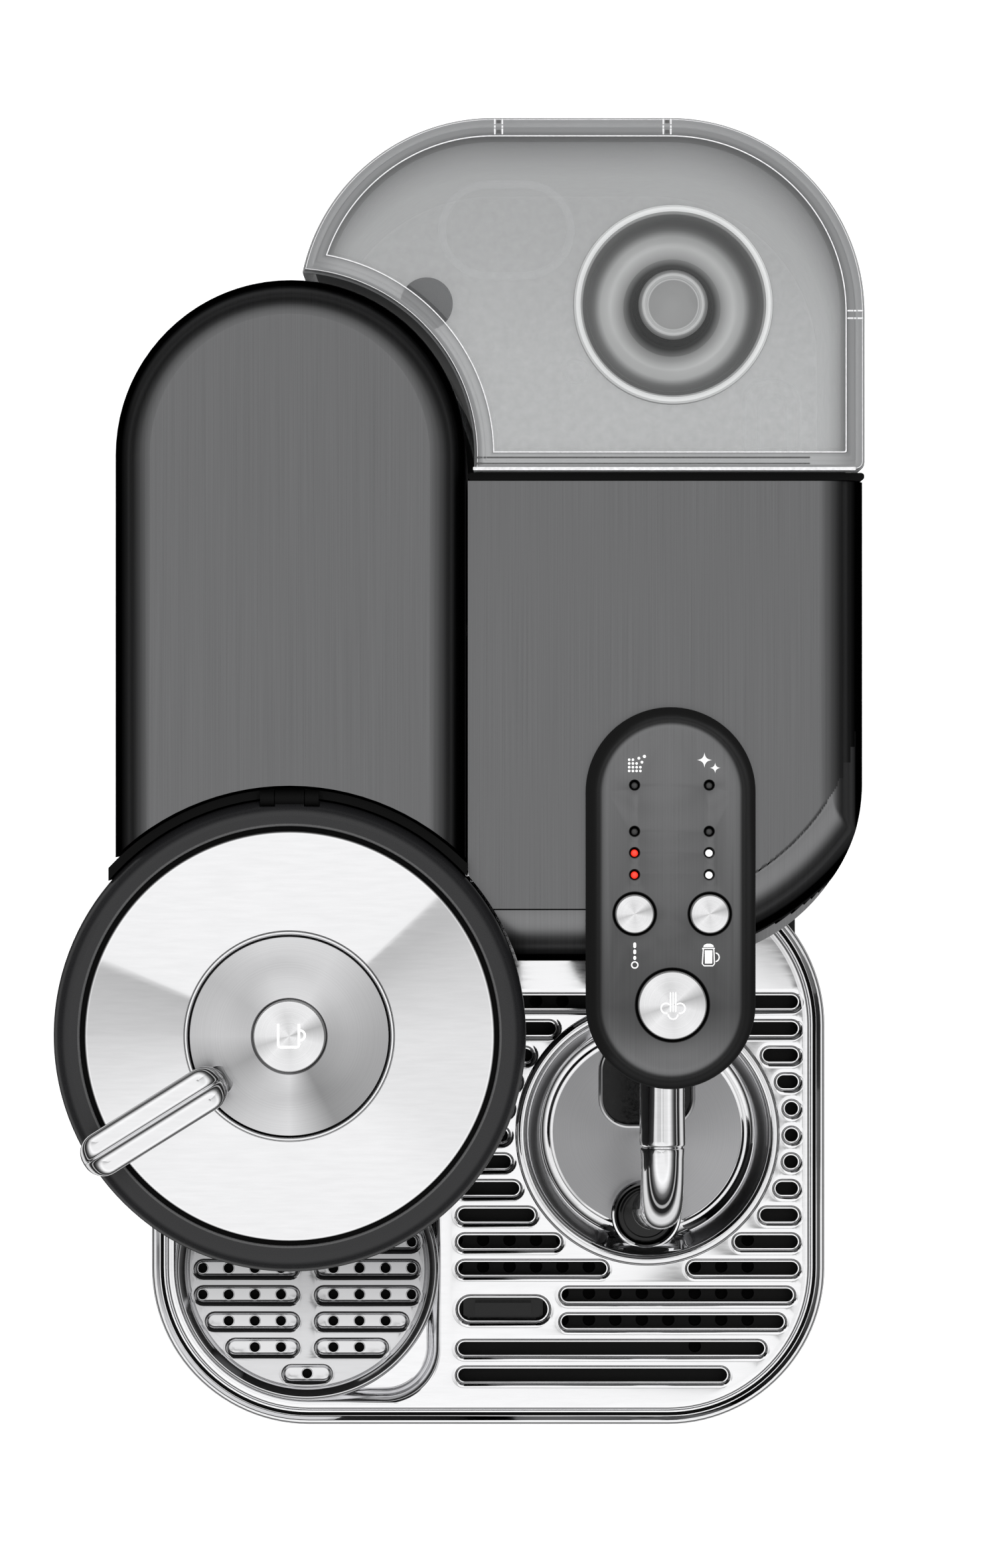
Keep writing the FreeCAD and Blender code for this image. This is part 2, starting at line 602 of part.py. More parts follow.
def make_arm():
    left, right = s.arm_x - s.arm_half, s.arm_x + s.arm_half

    def stadium(inset):
        radius = s.arm_half - inset
        return [(left + inset, s.arm_front + inset, radius),
                (right - inset, s.arm_front + inset, radius - 0.01),
                (right - inset, s.arm_back - inset, radius),
                (left + inset, s.arm_back - inset, radius - 0.01)]

    cover = new_body("arm_cover")
    pad(cover, stadium(0), s.arm_bottom, s.arm_top)
    round_edges(cover, 5, lambda b: b.ZMin > 297)
    pocket(cover, stadium(3.2), s.arm_bottom, s.arm_top - 2.6)
    for x, y, radius in BUTTONS.values():
        pocket(cover, (x, y, radius + 0.4), s.arm_bottom, s.arm_top)
    for x, y in LIGHTS:
        pocket(cover, (x, y, s.light_radius), s.arm_bottom, s.arm_top)
    keep("status_lights", group(*[
        cylinder(s.light_radius, s.arm_top - 4, s.arm_top - 0.2, x, y) for x, y in LIGHTS
    ]))
    for label, (x, y, radius) in BUTTONS.items():
        turned(label, x, y, [
            (0, s.button_bottom), (radius, s.button_bottom), (radius, s.button_top, 0.8),
            (0, s.button_top + 0.2),
        ])
    board = new_body("control_board")
    pad(board, stadium(4.2), s.arm_bottom + 0.5, s.arm_bottom + 2.1)
    keep("button_switches", group(*[
        block(x - 3, x + 3, y - 3, y + 3, s.arm_bottom + 2.1, s.arm_bottom + 4.2)
        for x, y, _ in BUTTONS.values()
    ]))
    under = new_body("arm_base")
    radius = s.arm_half - 1
    pad(under, [(left + 1, s.arm_front + 1, radius), (right - 1, s.arm_front + 1, radius - 0.01),
                (right - 1, s.body_front - 0.3), (left + 1, s.body_front - 0.3)],
        272, s.arm_bottom - 0.2)
    pad(under, box_outline(47, -67, 79, s.body_front - 0.3, 3), 254, 273)
    ears = [block(s.wand_x + x, s.wand_x + x + 4, -66, -50, 234, 254) for x in (-15, 11)]
    bore = rod(3, (s.wand_x - 20, s.wand_y, s.wand_z), 40, ALONG_X)
    keep("wand_bracket", less(group(*ears), bore))
    keep("wand_pivot_pin", rod(3, (s.wand_x - 15, s.wand_y, s.wand_z), 30, ALONG_X))
    x, tip = s.wand_x.number, (s.wand_tip_y.number, s.wand_tip_z.number)
    pipe = tube("WandPipe", [
        (x, s.wand_y.number - 2, s.wand_z.number - 1), (x, s.wand_knee_y.number, s.wand_z.number - 1),
        (x - 0.4, *tip)], s.wand_radius.number, s.wand_bend.number)
    hub = rod(s.wand_hub, (s.wand_x - 10.6, s.wand_y, s.wand_z), 21.2, ALONG_X)
    hub_bore = rod(3.05, (s.wand_x - 12, s.wand_y, s.wand_z), 24, ALONG_X)
    keep("steam_wand", less(joined(pipe, hub), hub_bore))
    slope = Vector(-0.4, tip[0] + 126, tip[1] - s.wand_z.number + 1).normalize()
    nozzle = doc.addObject("Part::Cone", "Nozzle")
    nozzle.Placement.Rotation = Rotation(Vector(0, 0, 1), slope)
    bind(nozzle, Radius1=6.1, Radius2=4.2, Height=13)
    put(nozzle, x - 0.4, *tip)
    keep("wand_tip", nozzle)


BUTTONS = {
    "milk_temperature_button": (s.small_left_x, s.small_button_y, s.small_button),
    "milk_foam_button": (s.small_right_x, s.small_button_y, s.small_button),
    "steam_button": (s.steam_button_x, s.steam_button_y, s.steam_button),
}
LIGHTS = [(x, y) for x in (s.light_left_x, s.light_right_x) for y in (6.1, -8, -14.5, -21.2)]


# ---- water tank


def tank_outline(inset):
    radius = s.tank_corner - inset
    return [(s.tank_left + inset, s.tank_front + inset, 1), (s.tank_right - inset, s.tank_front + inset, 1),
            (s.tank_right - inset, s.tank_back - inset, radius),
            (s.tank_left + inset, s.tank_back - inset, radius)]


def hollow_side(body, wall, low, high):
    """The wall that bends round the column's back: a drum less its inside and its outer parts."""
    pad(body, (s.column_x, s.column_arc_y, s.tank_gap_radius + wall), low, high)
    pocket(body, (s.column_x, s.column_arc_y, s.tank_gap_radius), low, high)
    pocket(body, box_outline(-120, 40, 12, s.tank_front), low, high)
    pocket(body, box_outline(-120, 60, -48.9, 172), low, high)


def make_tank():
    tank = new_body("water_tank")
    pad(tank, tank_outline(0), s.tank_bottom, s.tank_top)
    pocket(tank, tank_outline(s.tank_wall), s.tank_bottom + s.tank_wall, s.tank_top)
    hollow_side(tank, s.tank_wall, s.tank_bottom, s.tank_top)
    pocket(tank, (s.valve_x, s.valve_y, 4), s.tank_bottom, s.tank_bottom + s.tank_wall)
    turned("tank_valve", s.valve_x, s.valve_y, [
        (0, 12.6), (3.2, 12.6), (3.2, 16.8), (9, 16.8), (9, 20, 1), (4, 22, 1), (0, 22),
    ])
    lid = new_body("tank_lid")
    pad(lid, tank_outline(0), s.lid_bottom, s.lid_top)
    pocket(lid, tank_outline(s.lid_rim), s.lid_bottom + 3, s.lid_top)
    hollow_side(lid, 3.2, s.lid_bottom, s.lid_top)
    pocket(lid, (s.bowl_x, s.bowl_y, s.bowl_radius - 1), s.lid_bottom, s.lid_bottom + 3)
    finished.remove(lid)
    lid.Label = "tank_lid_sheet"
    bowl = turned("tank_lid_bowl", s.bowl_x, s.bowl_y, [
        (0, s.bowl_bottom), (22, s.bowl_bottom, 6), (28.6, s.lid_bottom + 1, 2),
        (s.bowl_radius + 0.6, s.lid_bottom + 1), (s.bowl_radius + 0.6, s.lid_bottom + 4.6),
        (s.bowl_radius - 1.4, s.lid_bottom + 4.6, 0.6), (20, s.bowl_bottom + 2.4, 5),
        (12, s.bowl_bottom + 2.4, 3), (7.5, s.bowl_bottom + 12, 3), (9, s.bowl_bottom + 20, 3),
        (0, s.bowl_bottom + 21),
    ])
    finished.remove(bowl)
    keep("tank_lid", joined(lid, bowl))
    keep("tank_dock", ring(14, 4, s.base_top, s.tank_bottom - 0.3, s.valve_x, s.valve_y))


# ---- drip tray


def tray_outline(inset):
    return box_outline(s.tray_left + inset, s.tray_front + inset, s.tray_right - inset,
                       s.tray_back - inset, s.tray_corner - inset)


def slot(left, right, y, height):
    """A slot's outline with round ends."""
    half = size(height) * 0.5
    return [(left, size(y) - half, half), (right, size(y) - half, half - 0.005),
            (right, size(y) + half, half), (left, size(y) + half, half - 0.005)]


# the rows of slots, counted from the back: the front rows end sooner at the rounded corner, and two
# rows start beside the water level float
SLOT_ROWS, SLOT_RIGHTS = 15, {12: 108.9, 13: 102.3, 14: 89.7}
FLOAT_ROWS, FLOAT_END = (11, 12), 33
SHORTEST_SLOT = 5.5
# the drain slots in the floor of the cup support's pocket
DRAIN_ROWS = (-187, -172, -157, -142, -127)


def slot_runs():
    """Each slot of the grille as (left, right, y), split where the jug nest interrupts it."""
    for row in range(SLOT_ROWS):
        y = s.first_slot_y - s.slot_pitch * row
        left, right = s.slot_left, size(SLOT_RIGHTS.get(row, s.slot_right))
        if row in FLOAT_ROWS:
            left = size(FLOAT_END)
        reach = s.nest_keep.number ** 2 - (y.number - s.nest_y.number) ** 2
        if row and reach > 0:
            half = math.sqrt(reach)
            # beside the nest's middle only a short slot is left, hardly longer than it is wide
            longest = right.number - s.nest_x.number - SHORTEST_SLOT
            yield left, s.nest_x - half, y
            yield s.nest_x + min(half, longest), right, y
        else:
            yield left, right, y


def make_tray():
    tray = new_body("drip_tray")
    pad(tray, tray_outline(0), s.tray_bottom, s.tray_top)
    round_edges(tray, 1.2, lambda b: b.ZMin > 48)
    pocket(tray, tray_outline(s.tray_rim), s.ledge_top, s.tray_top)
    pocket(tray, tray_outline(s.tray_rim + 4), s.tray_floor, s.ledge_top)

    grille = new_body("drip_grille")
    sheet_low = s.grille_top - s.grille_sheet
    pad(grille, tray_outline(s.grille_gap), s.grille_bottom, s.grille_top)
    round_edges(grille, 2, lambda b: b.ZMin > 48.5)
    # the skirt's inner face runs parallel to the tray's outline
    skirt = s.grille_gap + s.grille_skirt
    left, right, front = s.tray_left + skirt, s.tray_right - skirt, s.tray_front + skirt
    bend, hollow_left, hollow_back = s.tray_corner - skirt, s.pocket_right + 4, -31
    pocket(grille, [(hollow_left, front, 3), (right, front, bend), (right, hollow_back, bend),
                    (left, hollow_back, bend), (left, -103, 3), (hollow_left, -103, 3)],
           s.grille_bottom, sheet_low)
    pocket(grille, [(left, front, bend), (s.pocket_right, front, 15), (s.pocket_right, -107, 8),
                    (left, -107, 8)], s.pocket_floor, s.grille_top)
    pocket(grille, (s.nest_x, s.nest_y, 41), sheet_low, s.grille_top)
    for left, right, y in slot_runs():
        pocket(grille, slot(left, right, y, s.slot_height), sheet_low, s.grille_top)
    pocket(grille, slot(-1.7, 28.9, -171.5, 8.4), sheet_low, s.grille_top)
    for y in DRAIN_ROWS:
        pocket(grille, slot(-80, -25, y, 5), s.grille_bottom, s.pocket_floor)

    nest = turned("jug_nest", s.nest_x, s.nest_y, [
        (0, 37.5), (s.nest_floor_radius + 1, 37.5, 4), (39.6, 45.6, 3), (39.8, s.grille_top + 0.1),
        (44.6, s.grille_top + 0.1), (43.6, s.nest_top, 0.5), (41, s.nest_top, 1.2), (37.4, 45, 4),
        (s.nest_floor_radius, s.nest_floor, 4), (0, s.nest_floor),
    ])
    # the body's own frame is at the nest's middle
    out = s.sensor_y - s.nest_y
    pocket(nest, (s.sensor_x - s.nest_x, out, s.sensor_radius + 0.5), 30, 60)
    pocket(nest, box_outline(-15, 2.6, 15, 30, 9), 30, s.nest_floor + 1)
    well = new_body("nest_well")
    side, back, front = s.nest_x - 16.4, s.nest_y + 31.4, s.nest_y + 1.2
    pad(well, box_outline(side, front, side + 32.8, back, 10.4), 30, 37.4)
    pocket(well, box_outline(side + 1.6, front + 1.6, side + 31.2, back - 1.6, 8.8), 32, 37.4)
    turned("temperature_sensor", s.sensor_x, s.sensor_y, [
        (0, 36), (s.sensor_radius, 36), (s.sensor_radius, 42, 1), (0, 42.4),
    ])
    coil("sensor_spring", 6, 0.6, 26.3, 35.9, 4, s.sensor_x.number, s.sensor_y.number)
    turned("sensor_seat", s.sensor_x, s.sensor_y, [
        (0, 24), (11.6, 24), (11.6, 37.2), (10.2, 37.2), (10.2, 26), (0, 26),
    ])

    support = turned("cup_support_blank", s.cup_x, s.cup_y, [
        (s.cup_radius - 2.4, s.cup_bottom), (s.cup_radius, s.cup_bottom), (s.cup_radius, s.cup_top, 3),
        (0, s.cup_top), (0, s.cup_top - 2.4), (s.cup_radius - 2.4, s.cup_top - 2.4),
    ])
    for row, holes in enumerate(PILL_ROWS):
        y = s.pill_pitch.number * (4 - row)
        places = [s.pill_pitch.number * (n + 1) for n in range(holes)]
        near, far = PILL_NEAR, PILL_ENDS.get(holes)
        pills = [(near, far, places), (-far, -near, [-x for x in places])] if holes else [(-7.7, 7.7, [0])]
        for left, right, drops in pills:
            pocket(support, slot(left, right, y, 4.6), s.cup_top - 1.2, s.cup_top)
            for x in drops:
                pocket(support, (x, y, 1.6), s.cup_top - 2.4, s.cup_top - 1.2)
    support.Label = "cup_support"
    keep("float_indicator", joined(
        block(4, 23, -173.6, -169.4, 40, s.grille_top - 1.4), block(0, 27, -176, -167, 30, 40)
    ))


# drain holes in each pill of a row, from the back row of the cup support to its front row; a row with
# none has one short pill in the middle with a single hole
PILL_ROWS = [0, 2, 3, 4, 4, 4, 3, 2, 0]
PILL_NEAR, PILL_ENDS = 3.3, {2: 26.7, 3: 33.6, 4: 37.4}


# ---- inside the body


def make_works():
    keep("water_pump", joined(
        rod(19, (96, -2, 36), 52, ALONG_Y), rod(9, (96, 50, 36), 22, ALONG_Y),
        block(78, 114, 4, 44, s.base_top, 36),
    ))
    keep("flow_meter", joined(cylinder(14, 20, 40, 20, 82), cylinder(4, 40, 48, 20, 82)))
    keep("brew_heater", joined(
        block(14, 60, 30, 78, 96, 190), cylinder(5, 190, 202, 24, 54), cylinder(5, 190, 202, 50, 54)
    ))
    keep("steam_heater", joined(cylinder(26, 60, 200, 92, 40), cylinder(6, 200, 212, 92, 40)))
    keep("steam_valve", joined(block(50, 76, -30, 0, 230, 256), rod(6, (63, -44, 243), 15, ALONG_Y)))
    keep("main_board", block(12, 112, 88, 90, 90, 250))
    routes = [
        [(20, 82, 49), (20, 82, 70), (60, 84, 70), (60, 60, 45), (76, 60, 45)],
        [(96, 73, 36), (96, 84, 36), (45, 84, 36), (37, 84, 56), (37, 54, 56), (37, 54, 95)],
        [(24, HOSE_Y, 203), (24, HOSE_Y, HOSE_Z), (-16, HOSE_Y, HOSE_Z), (-16, 30, HOSE_Z)],
        [(92, 40, 213), (92, 40, 243), (63, 20, 243), (63, 1, 243)],
    ]
    keep("hoses", group(*[tube("Hose", route, 3, 8, 1.8) for route in routes]))
    keep("cord_gland", less(
        joined(rod(7, (GLAND_X, 144, GLAND_Z), 16, ALONG_Y), rod(10, (GLAND_X, 157, GLAND_Z), 4, ALONG_Y)),
        rod(3.8, (GLAND_X, 140, GLAND_Z), 25, ALONG_Y), doc.getObjectsByLabel("column_cover")[0],
    ))


make_base()
make_column()
make_body_shell()
make_brew_works()
make_head()
make_arm()
make_tank()
make_tray()
make_works()
doc.recompute()

bad = [f"{o.Label}: {o.State}" for o in doc.Objects if {"Invalid", "Error"} & set(o.State)]
if bad:
    raise RuntimeError("; ".join(bad))
os.makedirs("parts", exist_ok=True)
for thing in finished:
    shape = thing.Shape
    if shape.isNull() or not shape.isValid():
        raise RuntimeError(f"{thing.Label} has no valid shape")
    shape.exportStep(f"parts/{thing.Label}.step")
print(len(finished), "sub-parts")
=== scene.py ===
"""Looks of the pod coffee machine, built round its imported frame. Lengths are in millimetres
until a mesh is made; the frame's own are in metres."""
import json
import math

import bmesh
import bpy
import numpy as np
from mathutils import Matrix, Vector, geometry


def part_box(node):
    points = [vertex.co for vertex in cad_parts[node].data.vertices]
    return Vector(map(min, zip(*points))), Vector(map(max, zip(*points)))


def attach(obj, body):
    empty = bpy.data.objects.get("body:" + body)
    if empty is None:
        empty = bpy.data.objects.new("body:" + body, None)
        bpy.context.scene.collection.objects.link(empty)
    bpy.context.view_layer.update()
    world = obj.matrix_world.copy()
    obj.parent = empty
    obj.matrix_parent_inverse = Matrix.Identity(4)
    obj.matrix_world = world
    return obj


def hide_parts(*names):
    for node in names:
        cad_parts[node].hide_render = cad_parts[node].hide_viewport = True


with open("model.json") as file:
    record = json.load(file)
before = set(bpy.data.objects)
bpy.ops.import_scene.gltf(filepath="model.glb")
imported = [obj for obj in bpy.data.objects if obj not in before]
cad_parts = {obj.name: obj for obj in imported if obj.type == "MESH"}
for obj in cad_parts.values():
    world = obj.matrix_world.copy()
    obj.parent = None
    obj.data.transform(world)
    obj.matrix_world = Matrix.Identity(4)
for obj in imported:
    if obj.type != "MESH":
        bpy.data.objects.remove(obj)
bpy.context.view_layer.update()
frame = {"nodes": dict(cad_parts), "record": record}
nodes = frame["nodes"]

MM = 0.001
TURN = 2 * math.pi
SHARP = 32  # degrees between faces where an edge stays hard


def corners_of(node):
    """The lowest and highest corners of a CAD node, in millimetres."""
    low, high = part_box(node)
    return np.array(low) / MM, np.array(high) / MM


def middle_of(node):
    low, high = corners_of(node)
    return (low + high) / 2


# ---------------------------------------------------------------- shader nodes


def shader_of(material):
    return material.node_tree.nodes["Principled BSDF"]


def feed(tree, socket, source):
    """Link the source to the socket, or set it there when it is a plain value."""
    if isinstance(source, bpy.types.NodeSocket):
        tree.links.new(source, socket)
    else:
        socket.default_value = source


def add(tree, kind, *sources, **settings):
    """A new node: sources feed its inputs in order, and settings go in by name."""
    node = tree.nodes.new(kind)
    for key, value in settings.items():
        if key in node.inputs:
            feed(tree, node.inputs[key], value)
        else:
            setattr(node, key, value)
    for socket, source in zip(node.inputs, sources):
        feed(tree, socket, source)
    return node


def place(tree):
    """Where a point is in the object's own coordinates, in metres."""
    return add(tree, "ShaderNodeTexCoord").outputs["Object"]


def split(tree, vector):
    return add(tree, "ShaderNodeSeparateXYZ", vector).outputs


def vectors(tree, operation, *terms):
    return add(tree, "ShaderNodeVectorMath", *terms, operation=operation).outputs


def maths(tree, operation, *terms):
    return add(tree, "ShaderNodeMath", *terms, operation=operation).outputs[0]


def remap(tree, value, *limits):
    """A value moved from the range of the first two limits onto that of the last two."""
    return add(tree, "ShaderNodeMapRange", value, *limits).outputs[0]


def spread(tree, texture, low, high):
    """Noise, which keeps to 0.3 to 0.7, spread over low to high."""
    return remap(tree, texture, 0.3, 0.7, low, high)


def mix_colors(tree, factor, first, second, **settings):
    mix = add(tree, "ShaderNodeMix", data_type="RGBA", **settings)
    for index, source in ((0, factor), (6, first), (7, second)):
        feed(tree, mix.inputs[index], source)
    return mix.outputs[2]


def noise(tree, scale, source=None, detail=3.0):
    """Noise on the object's own coordinates, stretched by scale along each axis."""
    if source is None:
        source = place(tree)
    stretched = vectors(tree, "MULTIPLY", source, scale)[0]
    texture = add(tree, "ShaderNodeTexNoise", Vector=stretched, Scale=1.0, Detail=detail, Roughness=0.55)
    return texture.outputs["Fac"]


def away_from(tree, middle):
    """The way out from an upright axis through middle, as a flat vector and its length."""
    moved = vectors(tree, "SUBTRACT", place(tree), (middle[0] * MM, middle[1] * MM, 0))[0]
    flat = vectors(tree, "MULTIPLY", moved, (1, 1, 0))[0]
    return flat, vectors(tree, "LENGTH", flat)["Value"]


def ramp(tree, value, stops):
    """A grey ramp through (place, level) stops."""
    node = add(tree, "ShaderNodeValToRGB", value)
    ends = node.color_ramp.elements
    ends[0].position, ends[1].position = stops[0][0], stops[-1][0]
    for at, _ in stops[1:-1]:
        ends.new(at)
    for element, (_, level) in zip(ends, stops):
        element.color = (level, level, level, 1)
    return node.outputs[0]


# ---------------------------------------------------------------- materials


def new_material(name, color, metallic=0.0, roughness=0.5, **inputs):
    """A new material, its node tree and its shader."""
    material = bpy.data.materials.new(name)
    material.use_nodes = True
    shader = shader_of(material)
    shader.inputs["Base Color"].default_value = (*color, 1)
    shader.inputs["Metallic"].default_value = metallic
    shader.inputs["Roughness"].default_value = roughness
    for key, value in inputs.items():
        shader.inputs[key.replace("_", " ")].default_value = value
    return material, material.node_tree, shader


def tint(tree, shader, texture, color, low, high=1.0):
    """The colour varies with the texture, from low to high times the given one."""
    dark, light = ((*(min(1, c * level) for c in color), 1) for level in (low, high))
    mixed = mix_colors(tree, spread(tree, texture, 0, 1), dark, light)
    tree.links.new(mixed, shader.inputs["Base Color"])


def times(tree, shader, levels):
    """Multiply the shader's colour by some levels."""
    color = shader.inputs["Base Color"]
    mixed = mix_colors(tree, 1, color.links[0].from_socket, levels, blend_type="MULTIPLY")
    tree.links.new(mixed, color)


def painted_light_along_y(material, painted_bands):
    """Painted light and shade: levels of the material's colour along Y, as (metres, level) stops."""
    tree = material.node_tree
    first, last = painted_bands[0][0], painted_bands[-1][0]
    share = remap(tree, split(tree, place(tree))["Y"], first, last, 0, 1)
    stops = [((y - first) / (last - first), level) for y, level in painted_bands]
    times(tree, shader_of(material), ramp(tree, share, stops))


def rub(tree, shader, texture, low, high):
    """The roughness varies with the texture, from low to high."""
    tree.links.new(spread(tree, texture, low, high), shader.inputs["Roughness"])


def bump(tree, shader, texture, strength, distance=0.0002):
    node = add(tree, "ShaderNodeBump", Strength=strength, Distance=distance, Height=texture)
    tree.links.new(node.outputs[0], shader.inputs["Normal"])


def glow(material, strength, color=(1, 1, 1)):
    """An even light of the material's own: a lamp's, or painted light where the thing is no lamp."""
    shader = shader_of(material)
    shader.inputs["Emission Color"].default_value = (*color, 1)
    shader.inputs["Emission Strength"].default_value = strength
    return material


FINE = 2600  # streaks or grooves per metre


def brushed_sheet(name, color, roughness, turned, painted_bands=None):
    """Sheet metal brushed front to back: fine streaks on top, and on the sides as they wrap. Turned gives
    painted shade, levels of its colour as it turns over, as (how much it faces up, level) stops, and
    the bands are painted light and shade along Y, as (metres, level) stops."""
    material, tree, shader = new_material(name, color, 1.0, roughness)
    shader.inputs["Specular Tint"].default_value = (0.2, 0.2, 0.2, 1)
    facing = split(tree, add(tree, "ShaderNodeNewGeometry").outputs["Normal"])
    mix = add(tree, "ShaderNodeMix", maths(tree, "ABSOLUTE", facing["X"]))
    feed(tree, mix.inputs[2], noise(tree, (FINE, 14, 14), detail=4))
    feed(tree, mix.inputs[3], noise(tree, (14, 14, FINE), detail=4))
    streak = mix.outputs[0]
    tint(tree, shader, streak, color, 0.92, 1.08)
    # painted shade: the colour is darkened or lifted by how much the surface faces up
    times(tree, shader, ramp(tree, facing["Z"], turned))
    # painted light and shade along Y
    if painted_bands:
        painted_light_along_y(material, painted_bands)
    rub(tree, shader, streak, roughness - 0.03, roughness + 0.03)
    bump(tree, shader, streak, 0.03)
    return material


def spun_metal(name, middle, color, roughness, painted_fans=None):
    """Metal turned about an upright axis through middle: rings of fine grooves, and painted highlights,
    the fans of light that such grooves catch, as (turn, level) stops."""
    material, tree, shader = new_material(name, color, 1.0, roughness, Anisotropic=0.85)
    flat, reach = away_from(tree, middle)
    groove = noise(tree, (FINE, 0, 0), add(tree, "ShaderNodeCombineXYZ", reach).outputs[0], detail=4)
    tint(tree, shader, groove, color, 0.9)
    # painted highlights: the colour's level by turn about the axis
    if painted_fans:
        x, y, _ = split(tree, flat)
        turn = maths(tree, "MULTIPLY_ADD", maths(tree, "ARCTAN2", y, x), 1 / TURN, 0.5)
        times(tree, shader, ramp(tree, turn, painted_fans))
    bump(tree, shader, groove, 0.1)
    # the grooves run round the axis, so the tangent is up crossed with the way out
    tree.links.new(vectors(tree, "CROSS_PRODUCT", (0, 0, 1), flat)[0], shader.inputs["Tangent"])
    return material


def polished(name, color, roughness, wave=0.0):
    """Polished metal: faint wiping marks, and a very slight waviness where it is pressed sheet."""
    material, tree, shader = new_material(name, color, 1.0, roughness)
    marks = noise(tree, (90, 700, 90))
    rub(tree, shader, marks, roughness * 0.7, roughness * 1.4)
    tint(tree, shader, marks, color, 0.95)
    if wave:
        bump(tree, shader, noise(tree, (45, 45, 45), detail=1), wave, 0.001)
    return material


def moulded(name, color, roughness, grain, depth=0.08, **inputs):
    """Moulded plastic, rubber or cast metal with a fine grain."""
    material, tree, shader = new_material(name, color, 0.0, roughness, **inputs)
    texture = noise(tree, (grain, grain, grain))
    tint(tree, shader, texture, color, 0.88, 1.12)
    rub(tree, shader, texture, roughness - 0.04, roughness + 0.04)
    bump(tree, shader, texture, depth)
    return material


def clear_plastic(name, color, alpha):
    """Smoke-tinted clear plastic: part of the light goes straight through, less at a slant."""
    material, tree, shader = new_material(name, color, 0.0, 0.08, IOR=1.49, Alpha=alpha)
    tint(tree, shader, noise(tree, (18, 18, 18), detail=2), color, 0.94)
    edge = add(tree, "ShaderNodeLayerWeight", Blend=0.25)
    slanted = min(1, alpha + 0.5)
    tree.links.new(remap(tree, edge.outputs["Facing"], 0, 1, alpha, slanted), shader.inputs["Alpha"])
    return material


def ringed(name, middle, radius, color, stops):
    """Smooth smoked plastic with painted rings of light and shade about an upright axis, as
    (radius, level) stops."""
    material, tree, shader = new_material(name, color, 0.0, 0.12)
    share = maths(tree, "DIVIDE", away_from(tree, middle)[1], radius * MM)
    tint(tree, shader, noise(tree, (60, 60, 60), detail=2), color, 0.94)
    times(tree, shader, ramp(tree, share, [(out / radius, level) for out, level in stops]))
    return material


def shade_wall(material, low, high, stops):
    """Painted shade: darken a wall from its low end to its high end, in its colour and in a painted glow of
    its own.
    """
    tree, shader = material.node_tree, shader_of(material)
    levels = ramp(tree, remap(tree, split(tree, place(tree))["Z"], low, high, 0, 1), stops)
    times(tree, shader, levels)
    tree.links.new(levels, shader.inputs["Emission Color"])
    shader.inputs["Emission Strength"].default_value = 0.2


HEAD = middle_of("brew_button")
STEAM_KEY = middle_of("steam_button")
TEMPERATURE_KEY = middle_of("milk_temperature_button")
FOAM_KEY = middle_of("milk_foam_button")
NEST = middle_of("jug_nest")
LID_BOWL = (65.3, 153.2)

# the first levels of each dark steel are painted shade by how much the surface faces up
DARK_STEEL = brushed_sheet("dark_steel", (0.18, 0.181, 0.184), 0.3, [
    (0, 0.95), (0.12, 0.9), (0.3, 0.06), (0.56, 0.04), (0.67, 0.1), (0.72, 0.25), (0.8, 0.56), (0.89, 0.44),
    (0.954, 0.4), (0.988, 0.62), (0.998, 0.88), (1.0, 1.0)])
# a lighter copy for the body's front roll, with its own painted shade as it turns down
ROLL_STEEL = brushed_sheet("roll_steel", (0.26, 0.261, 0.265), 0.3, [
    (0, 0.7), (0.12, 0.65), (0.3, 0.01), (0.54, 0.03), (0.65, 0.22), (0.74, 0.6), (0.81, 0.5), (0.863, 0.45),
    (0.906, 0.58), (0.94, 0.76), (0.967, 0.84), (0.99, 0.84), (1.0, 0.8)])
# painted reflection along Y, a dark band round the steam key, and a faint painted glow
ARM_STEEL = glow(brushed_sheet("arm_steel", (0.185, 0.186, 0.189), 0.3, [
    (0, 0.9), (0.12, 0.85), (0.3, 0.2), (0.5, 0.15), (0.65, 0.25), (0.8, 0.5), (0.9, 0.7), (0.96, 0.86),
    (0.99, 0.96), (1.0, 1.0)], [
    (-0.087, 1.1), (-0.077, 0.95), (-0.069, 0.62), (-0.062, 0.46), (-0.05, 0.54), (-0.03, 0.74),
    (0.0, 0.92), (0.03, 1.0)]), 0.01)
CHROME = polished("chrome", (0.88, 0.88, 0.89), 0.05)
PRESSED_STEEL = polished("pressed_steel", (0.96, 0.96, 0.97), 0.06, 0.03)
MIRROR = polished("mirror_steel", (0.9, 0.9, 0.91), 0.03)
NEST_STEEL = spun_metal("nest_steel", NEST, (0.46, 0.46, 0.47), 0.3)
# painted highlights: fans of light by turn about the head's middle
DISC_STEEL = spun_metal("disc_steel", HEAD, (0.8, 0.8, 0.81), 0.28, [
    (0, 0.85), (0.08, 0.55), (0.17, 0.85), (0.25, 1.0), (0.33, 0.42), (0.42, 0.55), (0.5, 0.62),
    (0.58, 0.75), (0.67, 1.0), (0.8, 0.95), (0.9, 0.75), (1, 0.85)])
